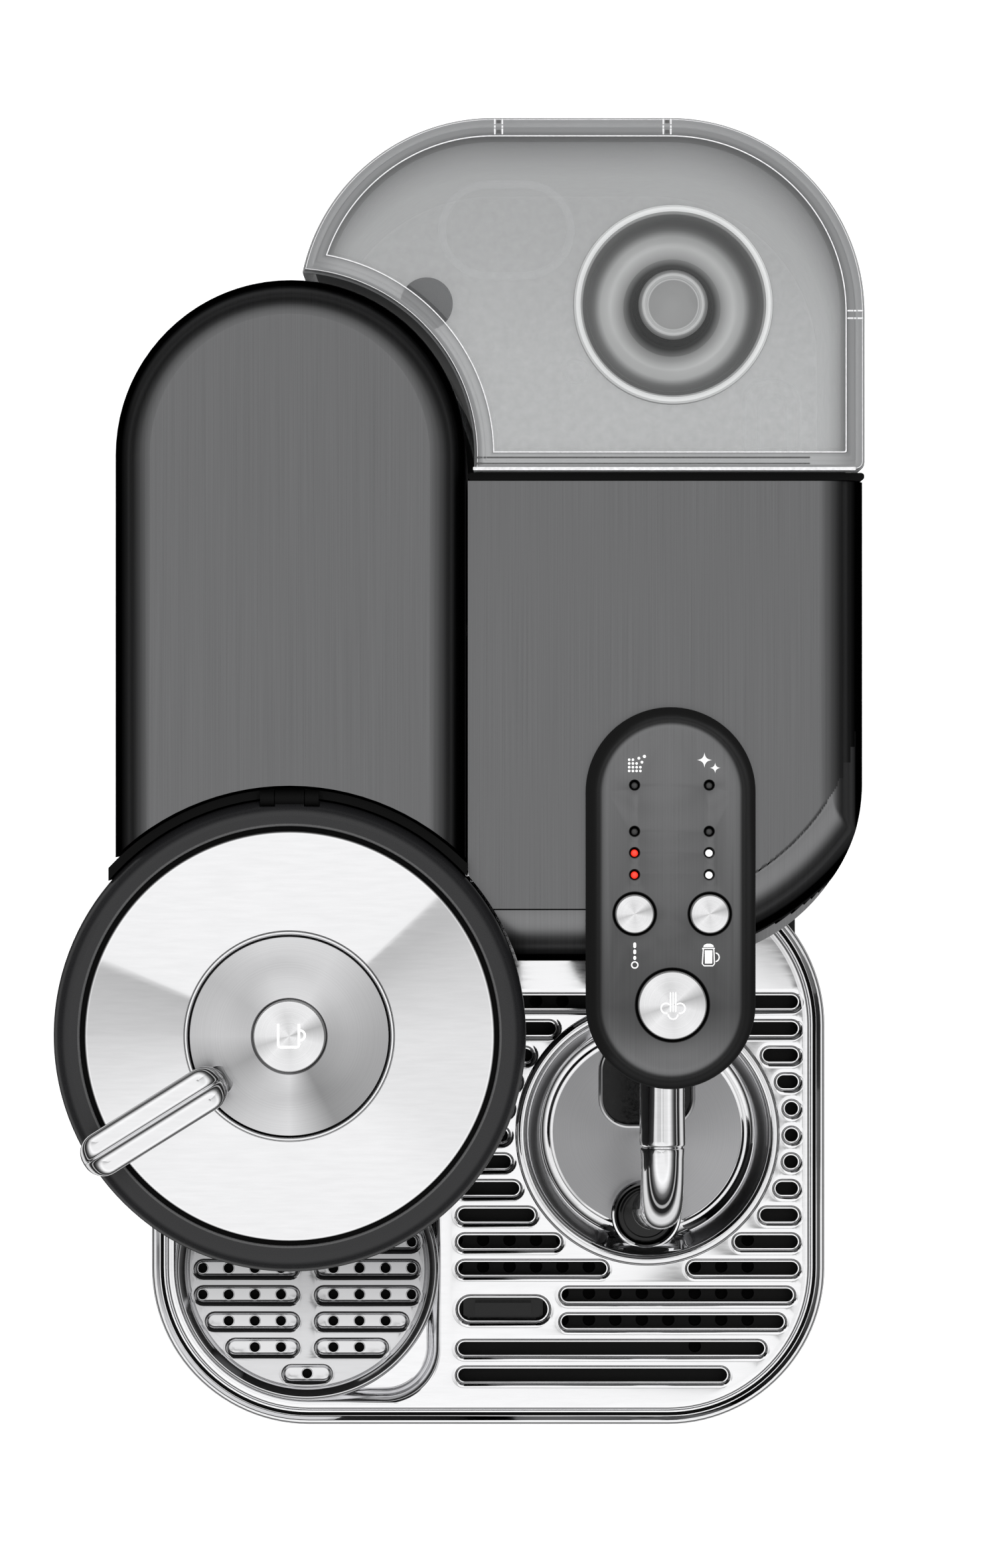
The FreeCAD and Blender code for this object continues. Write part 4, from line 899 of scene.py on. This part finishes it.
def tank_loop(inset):
    """The tank's outline, anticlockwise from its front right corner. Its rear left corner ends where
    it meets the hollow that bends round the column."""
    low, high = corners_of("water_tank")
    right, front, back = high[0] - inset, low[1] + inset, high[1] - inset
    radius, hollow, nose = TANK_CORNER - inset, TANK_HOLLOW + inset, max(0.5, 3 - inset)
    start = math.degrees(math.asin((front - COLUMN[1]) / hollow))
    corner = np.array([TANK_LEFT + TANK_CORNER, high[1] - TANK_CORNER])
    way = corner - COLUMN
    apart = np.linalg.norm(way)
    along = (hollow ** 2 - radius ** 2 + apart ** 2) / (2 * apart)
    across = math.sqrt(hollow ** 2 - along ** 2)
    # the tip is where the corner's arc and the hollow's meet
    tip = COLUMN + (way * along + np.array([-way[1], way[0]]) * across) / apart
    corner_end = math.degrees(math.atan2(tip[1] - corner[1], tip[0] - corner[0]))
    hollow_end = math.degrees(math.atan2(tip[1] - COLUMN[1], tip[0] - COLUMN[0]))
    count = 40
    return np.vstack([
        arc(right - nose, front + nose, nose, -90, 0, 6),
        arc(right - radius, back - radius, radius, 0, 90, count),
        arc(*corner, radius, 90, corner_end, count),
        arc(*COLUMN, hollow, hollow_end, start, count)[1:],
    ])


def make_tank():
    """The tank's tub with its frosted floor and inner walls, and ribs on the floor."""
    low, high = corners_of("water_tank")
    bottom, top = low[2], high[2]
    floor = bottom + TANK_WALL
    tank = Shape()
    tank.sweep(tank_loop, [(TANK_WALL, bottom), (0.8, bottom + 1), (0, bottom + 4), (0, top - 3),
                           (0.3, top - 1), (1.2, top)])
    tank.sweep(tank_loop, [(1.2, top), (2.2, top - 1), (TANK_WALL, top - 3)])
    steps = 8
    wall = [(TANK_WALL + 0.1 * n / steps, top - 3 - n * (top - bottom - 11) / steps)
            for n in range(steps + 1)]
    tank.sweep(tank_loop, [*wall, (2.9, bottom + 6)], kind=2)
    tank.sweep(tank_loop, [(2.9, bottom + 6), (3.3, bottom + 4.6), (4.2, bottom + 3.3), (5.4, bottom + 2.7),
                           (7, floor)], kind=1)
    valve = middle_of("tank_valve")
    port = ring(valve[0], valve[1], 4, 32)
    tank.flat(tank_loop(7), [port], floor, kind=1)
    tank.flat(tank_loop(TANK_WALL), [port], bottom, kind=1, up=False)
    tank.stack([(port, bottom), (port, floor)], kind=1, inward=True)
    # ribs on the tank's floor: an arch inside an arch, and a small ring
    for rib in (lambda grow: rounded(96 - grow, 119 - grow, 115 + grow, 145 + grow, [2, 2, 9, 9]),
                lambda grow: rounded(101 - grow, 119 - grow, 110.5 + grow, 140 + grow, [1.5, 1.5, 4.7, 4.7]),
                lambda grow: ring(38.4, 147.6, 4.1 + grow, 40)):
        tank.sweep(rib, [(0.9, 0), (0.6, 0.7), (0.3, 1.2), (0, 1.4), (-0.3, 1.2), (-0.6, 0.7), (-0.9, 0)],
                   floor, kind=1)
    tank.make("tank_clear", "tank", "smoke_clear", [SMOKE, FROST, FROST_WALL], ["water_tank"])


LID_LOW = 284.3


def make_lid():
    """The lid's smoked frame and clear top, with its seams and clips."""
    low, high = corners_of("tank_lid")
    top, base = high[2], LID_LOW
    lid = Shape()
    lid.sweep(tank_loop, [
        (2.0, base), (0.3, base), (0, base + 0.4), (0, base + 1.6), (0.5, base + 2.2), (0.7, top - 1.6),
        (1.1, top - 0.6), (2.0, top - 0.05), (2.8, top), (3.2, top - 0.2), (3.6, top), (4.6, top - 0.1),
        (5.3, top - 0.6), (5.7, top - 1.5), (5.8, base + 4.4)], kind=1)
    lid.sweep(tank_loop, [(5.8, base + 4.4), (6.1, base + 3.5), (6.9, base + 3.1), (7.4, base + 3)])
    bar_z = top - 0.3

    def bar(x0, y0, x1, y1, kind):
        loop = rounded(x0, y0, x1, y1, 0.2, 4)
        lid.stack([(loop, bar_z), (loop, bar_z + 0.28)], kind)
        lid.flat(loop, [], bar_z + 0.28, kind)

    front, back, right = low[1], high[1], high[0]
    # the front edge is a bright lip, a painted highlight, with two dark seams behind it
    bar(4, front + 0.3, right - 3, front + 1.3, 2)
    for seam in (2.1, 3.9):
        bar(5, front + seam, right - 17, front + seam + 0.55, 3)
    # small clips across the rim: two behind, one on the right; their bright bars are painted highlights
    for x in (11.7, 63.2):
        for side in (-1.3, 1.0):
            bar(x + side, back - 5.6, x + side + 0.5, back - 0.8, 2)
        for y in (back - 5.2, back - 2.2):
            bar(x - 0.5, y, x + 0.7, y + 1.0, 3)
    for side in (-1.3, 1.0):
        bar(right - 5.6, 149.8 + side, right - 0.8, 150.3 + side, 2)
    # painted highlights: bright lines along the rim's outer and inner edges
    for inset, width, z in ((0.85, 0.3, top - 0.9), (5.75, 0.35, top - 1.2)):
        lid.sweep(tank_loop, [(inset, -0.3), (inset, 0.12), (inset + width, 0.12), (inset + width, -0.3)],
                  z, kind=2)
    x, y = LID_BOWL
    hole = ring(x, y, 30.4)
    lid.flat(tank_loop(7.4), [hole], base + 3)
    lid.flat(tank_loop(7.4), [hole], base + 0.9, up=False)
    # a shallow pressed ridge beside the bowl
    lid.sweep(lambda grow: obround(-6.6, 35, 176, 30, grow),
              [(0.2, 0), (-0.4, 0.25), (-1.0, 0.38), (-1.6, 0.25), (-2.2, 0)], base + 3)
    lid.lathe(x, y, [(30.4, base + 0.9), (30.4, base + 3)])
    lid.make("tank_lid_clear", "lid", "smoke_clear", [LID_CLEAR, RIM_CLEAR, EDGE_HIGHLIGHT, EDGE_GREY],
             ["tank_lid"])


def make_dish():
    """The lid's sunken bowl with the knob that rises in its middle."""
    base = LID_LOW
    turned("tank_lid_dish", "lid", "smoke_clear", [DISH_PAINTED_RINGS], (), LID_BOWL, [
        (30.6, base + 1), (30.6, base + 3), (30.4, base + 4.6), (29.8, base + 5.3), (29.0, base + 5.5),
        (28.4, base + 5.2), (28.1, base + 4.2), (27.6, base + 1), (26.6, base - 5), (25, base - 10),
        (22, base - 13.2), (18.5, base - 14.2), (15, base - 13.8), (12.2, base - 11.5), (10.8, base - 7),
        (10.6, base - 1), (10.7, base + 2), (10.4, base + 3.4), (9.6, base + 4.1), (8.8, base + 4.2),
        (8.2, base + 3.7), (7.9, base + 3.0), (7.0, base + 2.7), (3, base + 2.6), (0.01, base + 2.6),
    ], 128)


# ---------------------------------------------------------------- steam wand


def make_wand():
    """One bent chrome tube with a thicker sleeve at its root, fine rings and a black nozzle."""
    pivot = middle_of("wand_pivot_pin")
    root = np.array([pivot[0], pivot[1] - 2, pivot[2] - 1])
    knee = np.array([pivot[0], -126, pivot[2] - 1])
    tip = np.array([pivot[0] - 0.4, -134, 112])
    down = (tip - knee) / np.linalg.norm(tip - knee)
    bend = 18.0
    back = (root - knee) / np.linalg.norm(root - knee)
    half = math.acos(float(back @ down)) / 2
    run = bend / math.tan(half)
    centre = knee + (back + down) / np.linalg.norm(back + down) * (bend / math.sin(half))
    path = []
    start, end = knee + back * run - centre, knee + down * run - centre
    for t in np.linspace(0, 1, 22):
        angle = math.pi - 2 * half
        way = (start * math.sin((1 - t) * angle) + end * math.sin(t * angle)) / math.sin(angle)
        tangent = -start * math.cos((1 - t) * angle) + end * math.cos(t * angle)
        path.append((centre + way, tangent / np.linalg.norm(tangent)))
    side = np.array([1.0, 0, 0])

    def around(point, tangent, radius):
        up = np.cross(side, tangent)
        up /= np.linalg.norm(up)
        angles = np.linspace(0, TURN, 41)[:-1]
        return np.array([point + radius * (np.cos(a) * side + np.sin(a) * up) for a in angles])

    # the thicker sleeve and the groove at its end, then the tube and three rings near its tip
    marks = [(0, 7), (34, 7), (45, 7.2), (46.2, 7.2), (46.7, 7.0), (46.9, 6.5), (47.2, 6.5), (47.4, 6.8),
             (47.7, 6.9)]
    rings = [around(root - back * distance, -back, radius) for distance, radius in marks]
    rings += [around(p, t, 6.7 if i else 6.8) for i, (p, t) in enumerate(path)]
    bent = path[-1][0]
    length = np.linalg.norm(tip - bent)
    rings.append(around(bent + down * (length - 9), down, 6.7))
    for at in np.arange(8.6, 2, -2.2):
        for distance, radius in ((at, 6.7), (at - 0.3, 6.2), (at - 0.9, 6.2), (at - 1.2, 6.7)):
            rings.append(around(bent + down * (length - distance), down, radius))
    rings.append(around(tip, down, 6.6))
    shape = Shape()
    shape.loft(rings, inward=True)
    # the drum that turns on the pivot pin
    for way in (-1, 1):
        ends = [(0, 9), (9.4, 9), (10.2, 8.6), (10.6, 7.8), (10.6, 3)]
        shape.loft([around_x(pivot, way * d, r) for d, r in ends], inward=way < 0)
    shape.make("wand_chrome", "wand", "polished_steel", [CHROME], ["steam_wand"], sharp=50)
    nozzle = Shape()
    profile = [(0, 6.2), (1, 6.3), (6, 6.0), (10, 5.2), (12, 4.4), (12.8, 3.2), (12.8, 1.4), (11.5, 1.0)]
    nozzle.loft([around(tip + down * d, down, r) for d, r in profile], inward=True)
    nozzle.make("wand_nozzle", "wand", "black_plastic", [BLACK_SATIN], ["wand_tip"])


def around_x(middle, offset, radius):
    """A ring about an axis along X."""
    x, y, z = middle
    angles = np.linspace(0, TURN, 41)[:-1]
    return np.array([(x + offset, y + radius * math.cos(a), z + radius * math.sin(a)) for a in angles])


# ---------------------------------------------------------------- control arm


LIGHT_XS = (53.25, 76.0)
LIGHT_YS = (6.1, -8.0, -14.5, -21.2)


def make_arm_cover():
    low, high = corners_of("arm_cover")
    top, half, x = high[2], (high[0] - low[0]) / 2, (high[0] + low[0]) / 2
    front, back = low[1], high[1]
    shoulder, well_floor = 5.2, top - 5.5

    def stadium(inset):
        return rounded(x - half + inset, front + inset, x + half - inset, back - inset, half - inset)

    shape = Shape()
    curve = [(0, low[2]), (0, low[2] + 0.5), (0.35, low[2] + 0.9), (0.5, low[2] + 1.4), (0.5, top - shoulder)]
    # the shoulder turns over ever more gently up to the flat top
    curve += [(0.5 + 6.2 * a, top - shoulder * (1 - a) ** 2.3) for a in np.linspace(0, 1, 20)[1:]]
    shape.sweep(stadium, curve)
    holes = []
    wells = [(STEAM_KEY, 11.25), (TEMPERATURE_KEY, 6.6), (FOAM_KEY, 6.6)]
    wells += [((lx, ly), 1.5) for lx in LIGHT_XS for ly in LIGHT_YS]
    for middle, radius in wells:
        bevel = 0.35 if radius > 3 else 0.3
        holes.append(ring(middle[0], middle[1], radius + bevel, 64))
        shape.lathe(middle[0], middle[1], [
            (radius + bevel, top), (radius + bevel * 0.4, top - bevel * 0.35), (radius, top - bevel),
            (radius, top - bevel * 1.2)], count=64)
        # painted shade: the wells' walls are black
        shape.lathe(middle[0], middle[1], [(radius, top - bevel * 1.2), (radius, well_floor)], 1, 64)
    shape.flat(stadium(6.7), holes, top)
    # painted shade: a black floor under the wells
    shape.flat(stadium(2), [], well_floor, kind=1)
    shape.make("arm_cover_steel", "root", "dark_steel", [ARM_STEEL, BLACK_DEEP], ["arm_cover"], 40)


def make_lights():
    """Domed lenses low in their wells: the two front ones are lit on each side."""
    lens = Shape()
    for column, x in enumerate(LIGHT_XS):
        for row, y in enumerate(LIGHT_YS):
            kind = 0 if row < 2 else column + 1
            profile = [(1.08, 294), (1.08, 296.2), (0.98, 296.5), (0.7, 296.65), (0.01, 296.7)]
            lens.lathe(x, y - 0.2, profile, kind, 24)
    lens.make("light_lenses", "root", "lens_clear", [DARK_LIGHT, RED_LIGHT, WHITE_LIGHT], ["status_lights"])


def make_button(name, node, body, radius, material):
    """A round key with a soft edge and a slightly domed top."""
    bottom, top = (corner[2] for corner in corners_of(node))
    turned(name, body, "satin_steel", [material], [node], middle_of(node), [
        (radius, bottom), (radius, top - 0.75), (radius - 0.12, top - 0.4), (radius - 0.4, top - 0.2),
        (radius - 0.5, top - 0.18), (radius * 0.5, top - 0.05), (0.01, top)], 96)


# ---------------------------------------------------------------- printed marks


class Print(Shape):
    """Flat printed marks: dots, bars with round ends and curved strokes."""

    def __init__(self, x, y, z):
        super().__init__()
        self.x, self.y, self.z = x, y, z + 0.04

    def fill(self, loop):
        base = len(self.points)
        self.points.extend((self.x + px, self.y + py, self.z) for px, py in loop)
        self.faces.append(tuple(range(base, base + len(loop))))
        self.kinds.append(0)

    def dot(self, x, y, radius, count=20):
        self.fill(ring(x, y, radius, count))

    def bar(self, x, front, back, width):
        """An upright bar with round ends."""
        half = width / 2
        self.fill(np.vstack([arc(x, front + half, half, 180, 360, 9), arc(x, back - half, half, 0, 180, 9)]))

    def curve(self, points, width):
        """A stroke along the points, with round ends."""
        points = np.array(points, float)
        way = np.gradient(points, axis=0)
        way /= np.linalg.norm(way, axis=1)[:, None]
        side = np.column_stack([-way[:, 1], way[:, 0]]) * width / 2
        left, right = points + side, points - side
        base = len(self.points)
        for row in (left, right):
            self.points.extend((self.x + px, self.y + py, self.z) for px, py in row)
        count = len(points)
        for at in range(count - 1):
            self.faces.append((base + at, base + count + at, base + count + at + 1, base + at + 1))
            self.kinds.append(0)

    def stroke(self, x, y, radius, start, end, width):
        self.curve(arc(x, y, radius, start, end, 33), width)

    def star(self, x, y, tall, wide):
        """A four-pointed sparkle with hollow sides."""
        tips = [(wide, 0), (0, tall), (-wide, 0), (0, -tall)]
        loop = []
        for now, after in zip(tips, tips[1:] + tips[:1]):
            for t in np.linspace(0, 1, 9)[:-1]:
                # a curve from tip to tip that is pulled in towards the middle
                leave, reach, pull = (1 - t) ** 2, t ** 2, 2 * t * (1 - t) * 0.05
                loop.append([middle + leave * a + reach * b + pull * (a + b)
                             for middle, a, b in zip((x, y), now, after)])
        self.fill(loop)


def make_prints():
    top = corners_of("arm_cover")[1][2]
    rinse = Print(53.8, 12.7, top)
    for row, count in enumerate((2, 3, 4, 4)):
        for column in range(count):
            rinse.dot(-2.2 + 1.14 * column, 1.1 - 1.14 * row, 0.38)
    for x, y, r in ((0.75, 1.55, 0.42), (2.45, 2.1, 0.48), (1.7, 0.35, 0.42)):
        rinse.dot(x, y, r)
    shine = Print(76.0, 13.1, top)
    shine.star(-1.45, 0.6, 2.3, 2.3)
    shine.star(1.8, -1.8, 1.6, 1.6)
    heat = Print(53.3, -45.8, top)
    for front, back in ((2.2, 3.9), (0.35, 1.75), (-1.4, -0.2)):
        heat.bar(0, front, back, 0.85)
    heat.stroke(0, -2.95, 0.95, 0, 360, 0.36)
    jug = Print(76.2, -45.8, top)
    jug.curve([(-2.3, 2.1), (-2.0, 1.8), (-2.3, -2.6), (-1.8, -3.2), (0.9, -3.2), (1.4, -2.6), (1.2, 1.8),
               (1.5, 2.1), (-2.3, 2.1)], 0.32)
    jug.fill([(-1.5, -2.5), (0.7, -2.5), (0.75, 1.5), (-1.55, 1.5)])
    jug.fill([(-2.0, 2.5), (1.2, 2.5), (1.0, 3.1), (0.2, 3.5), (-1.0, 3.5), (-1.8, 3.1)])
    jug.stroke(1.5, -0.6, 1.35, -78, 78, 0.34)
    for n, mark in enumerate((rinse, shine, heat, jug)):
        mark.make(f"arm_mark_{n}", "root", "white_plastic", [PRINT])
    steam = Print(STEAM_KEY[0], STEAM_KEY[1], corners_of("steam_button")[1][2])
    for x in (-0.65, 0.15, 0.95):
        steam.bar(x, -2.0, 4.0, 0.42)
    steam.stroke(-2.0, -0.9, 1.5, 48, 285, 0.42)
    steam.stroke(0.15, -2.75, 1.45, 180, 360, 0.42)
    steam.stroke(2.3, -0.9, 1.5, 132, -105, 0.42)
    steam.make("steam_mark", "steam_button", "white_plastic", [PRINT])
    cup = Print(HEAD[0], HEAD[1], corners_of("brew_button")[1][2])
    cup.curve([(-3.3, 3.8), (-3.3, -2.6), (-3.1, -3.1), (-2.6, -3.3), (2.3, -3.3), (2.8, -3.1), (3.0, -2.6),
               (3.0, 3.8)], 0.75)
    cup.stroke(3.3, 0.3, 1.5, -90, 90, 0.7)
    cup.make("cup_mark", "brew_button", "white_plastic", [PRINT])


# ---------------------------------------------------------------- head


HOUSING_TOP = 300.0


def make_head():
    """The mirror plate that slopes from its middle hole to its rim, the trim ring, the lock disc, the
    housing's lip, grey as a painted highlight, and the black ring of painted shade in the gap inside it."""
    x, y = HEAD[0], HEAD[1]
    deep, hole = 294, 32.2
    plate = corners_of("head_plate")[1]
    rim, top = plate[0] - x, plate[2]
    shape = Shape()
    edge = top - 3.0
    shape.lathe(x, y, [(rim, deep), (rim, edge - 0.9), (rim - 0.2, edge - 0.35), (rim - 0.7, edge - 0.05),
                       (rim - 1.2, edge), (hole, top)], count=192)
    shape.lathe(x, y, [(hole, top), (hole, deep)], count=192)
    shape.make("head_plate_mirror", "head", "mirror_steel", [MIRROR], ["head_plate"])
    top = corners_of("head_trim_ring")[1][2]
    turned("trim_ring_chrome", "head", "polished_steel", [CHROME], ["head_trim_ring"], HEAD, [
        (32.1, deep), (32.1, top - 0.7), (31.95, top - 0.25), (31.7, top), (31.2, top),
        (30.95, top - 0.25), (30.8, top - 0.7), (30.8, deep)], 160)
    top = corners_of("lock_disc")[1][2]
    turned("lock_disc_spun", "lock", "satin_steel", [DISC_STEEL], ["lock_disc"], HEAD, [
        (30.4, top - 2.6), (30.4, top - 0.5), (30.2, top - 0.1), (29.9, top), (12.2, top),
        (11.7, top - 0.15), (11.45, top - 0.6), (11.4, 294.4)], 160)
    top = HOUSING_TOP
    # a painted highlight: the grey lip on the housing's inner edge
    turned("housing_lip", "head", "black_gloss", [EDGE_GREY], (), HEAD, [
        (rim + 2.1, top), (rim + 1.95, top + 0.1), (rim + 1.6, top + 0.14), (rim + 1.35, top),
        (rim + 1.25, top - 0.6)], 192)
    # painted shade: a black ring in the gap between the plate and the housing
    turned("head_gap_shade", "head", "black_gloss", [BLACK_DEEP], (), HEAD, [
        (rim + 1.15, top - 2.6), (rim + 0.05, top - 2.6)], 192)


def make_lever():
    """A bar with domed ends and a crease between the two lobes of its top, on a short post."""
    top, radius = corners_of("lock_lever")[1][2], 6.9
    angle = math.radians(212)
    along = np.array([math.cos(angle), math.sin(angle), 0])
    side = np.array([-along[1], along[0], 0])
    up = np.array([0, 0, 1.0])
    centre = np.array([HEAD[0], HEAD[1], top - radius])
    start, end, half, rise = 29.6, 66.1, radius / 2, 1.5
    lobe = arc(0, 0, 1, 0, 172, 24) * (half, rise)
    section = np.vstack([lobe + (half, radius - rise), lobe[::-1] * (-1, 1) + (-half, radius - rise),
                         arc(0, 0, radius, 180, 360, 25)[:-1]])
    rings = []
    cap = radius * math.sin(math.radians(88))
    for t in np.linspace(0, 1, 60):
        # steps are finer in the domed ends
        place = start - cap + (end - start + 2 * cap) * (t - math.sin(2 * TURN * t) / (2 * TURN) * 0.8)
        over = max(start - place, place - end, 0)
        size = math.sqrt(max(1e-4, 1 - (over / radius) ** 2))
        rings.append([centre + along * place + side * size * a + up * size * b for a, b in section])
    shape = Shape()
    tips = [[centre + along * at] * len(section) for at in (start - radius, end + radius)]
    shape.loft([tips[0], *rings, tips[1]], inward=True)
    foot = centre + along * (start - 4.5)
    shape.lathe(foot[0], foot[1], [(4.5, 303.1), (4.5, centre[2] - 2)], count=40)
    shape.make("lever_chrome", "lock", "polished_steel", [CHROME], ["lock_lever"], sharp=60)


# ---------------------------------------------------------------- stage


def make_sky(scene):
    """A studio seen in reflections: a big soft light overhead, dark walls, a low strip light, and two
    dark panels beside the overhead light whose near edges are sharp and whose far ends fade."""
    world = bpy.data.worlds.new("studio")
    scene.world = world
    world.use_nodes = True
    tree = world.node_tree

    def calc(operation, *terms):
        return maths(tree, operation, *terms)

    x, y, z = split(tree, add(tree, "ShaderNodeTexCoord").outputs["Generated"])
    # the light leans over the front, so slopes that face the front are brighter
    leaning = calc("ADD", z, calc("MULTIPLY", y, -0.2))
    level = ramp(tree, calc("MULTIPLY_ADD", leaning, 0.5, 0.5), [
        (0.0, 0.04), (0.14, 0.06), (0.24, 0.8), (0.38, 0.85), (0.45, 0.2), (0.5, 0.02), (0.58, 0.015),
        (0.6, 0.5), (0.635, 0.5), (0.655, 0.02), (0.72, 0.03), (0.8, 0.2), (0.87, 0.8), (0.92, 1.15),
        (0.96, 1.03), (0.985, 1.0), (1.0, 1.0)])
    # straight overhead it is greyer towards the back right
    corner = calc("MULTIPLY_ADD", calc("ADD", x, calc("MULTIPLY", y, 0.8)), 4, 0.5)
    dull = ramp(tree, corner, [(0.43, 0), (0.49, 0.4), (0.55, 0.72), (0.62, 0.72), (0.72, 0.0)])
    # the panels stand round a point beside straight up
    east, north = calc("ADD", x, 0.028), calc("ADD", y, 0.034)
    turn = calc("MULTIPLY_ADD", calc("ARCTAN2", north, east), 1 / TURN, 0.5)
    panels = ramp(tree, turn, [
        (0.0, 0.28), (0.02, 0.2), (0.07, 0.05), (0.14, 0.0), (0.36, 0.0), (0.42, 0.1), (0.5, 0.14),
        (0.56, 0.28), (0.6, 0.42), (0.617, 0.42), (0.62, 0.0), (0.94, 0.0), (0.942, 0.46), (1.0, 0.32)])
    reach = calc("SQRT", calc("ADD", calc("MULTIPLY", east, east), calc("MULTIPLY", north, north)))
    band = ramp(tree, reach, [(0.05, 0), (0.12, 1), (0.4, 1), (0.6, 0.4)])
    centre = ramp(tree, reach, [(0.075, 1), (0.115, 0)])
    keep = calc("MULTIPLY", calc("SUBTRACT", 1.0, calc("MULTIPLY", panels, band)),
                calc("SUBTRACT", 1.0, calc("MULTIPLY", dull, centre)))
    # the camera itself sees plain white
    seen = add(tree, "ShaderNodeLightPath").outputs["Is Camera Ray"]
    sky = tree.nodes["Background"]
    tree.links.new(mix_colors(tree, seen, calc("MULTIPLY", level, keep), (1, 1, 1, 1)), sky.inputs["Color"])
    sky.inputs["Strength"].default_value = 1.0


def make_stage():
    scene = bpy.context.scene
    make_sky(scene)

    mesh = bpy.data.meshes.new("floor")
    mesh.from_pydata([(-3, -3, 0), (3, -3, 0), (3, 3, 0), (-3, 3, 0)], [], [(0, 1, 2, 3)])
    floor = bpy.data.objects.new("floor", mesh)
    scene.collection.objects.link(floor)
    mesh.materials.append(glow(new_material("pale_floor", (0.93, 0.93, 0.93), 0.0, 0.9)[0], 0.6))
    floor.visible_glossy = False

    light = bpy.data.lights.new("soft_box", "AREA")
    light.shape = "RECTANGLE"
    light.size, light.size_y = 1.6, 1.6
    light.energy = 30
    lamp = bpy.data.objects.new("soft_box", light)
    lamp.location = (0.2, 0.5, 2.2)
    lamp.rotation_euler = (Vector((0, 0, 0.1)) - lamp.location).to_track_quat("-Z", "Y").to_euler()
    lamp.visible_glossy = False
    scene.collection.objects.link(lamp)

    # straight overhead and centred on the machine's top
    camera = bpy.data.cameras.new("camera")
    camera.sensor_fit = "VERTICAL"
    camera.sensor_height = 36
    camera.lens = 168.9
    eye = bpy.data.objects.new("camera", camera)
    eye.location = (0.01025, 0.0064, 2.54)
    scene.collection.objects.link(eye)
    scene.camera = eye
    scene.view_settings.view_transform = "Standard"


dress_frame()
make_tray()
make_grille()
make_strainer()
make_nest()
make_cup_support()
make_body_shell()
make_tank()
make_lid()
make_dish()
make_wand()
make_arm_cover()
make_lights()
make_button("steam_key", "steam_button", "steam_button", 10.45, STEAM_STEEL)
make_button("temperature_key", "milk_temperature_button", "temperature_button", 5.9, TEMPERATURE_STEEL)
make_button("foam_key", "milk_foam_button", "foam_button", 5.9, FOAM_STEEL)
make_button("brew_key", "brew_button", "brew_button", 11, BUTTON_STEEL)
make_head()
make_lever()
make_prints()
make_stage()
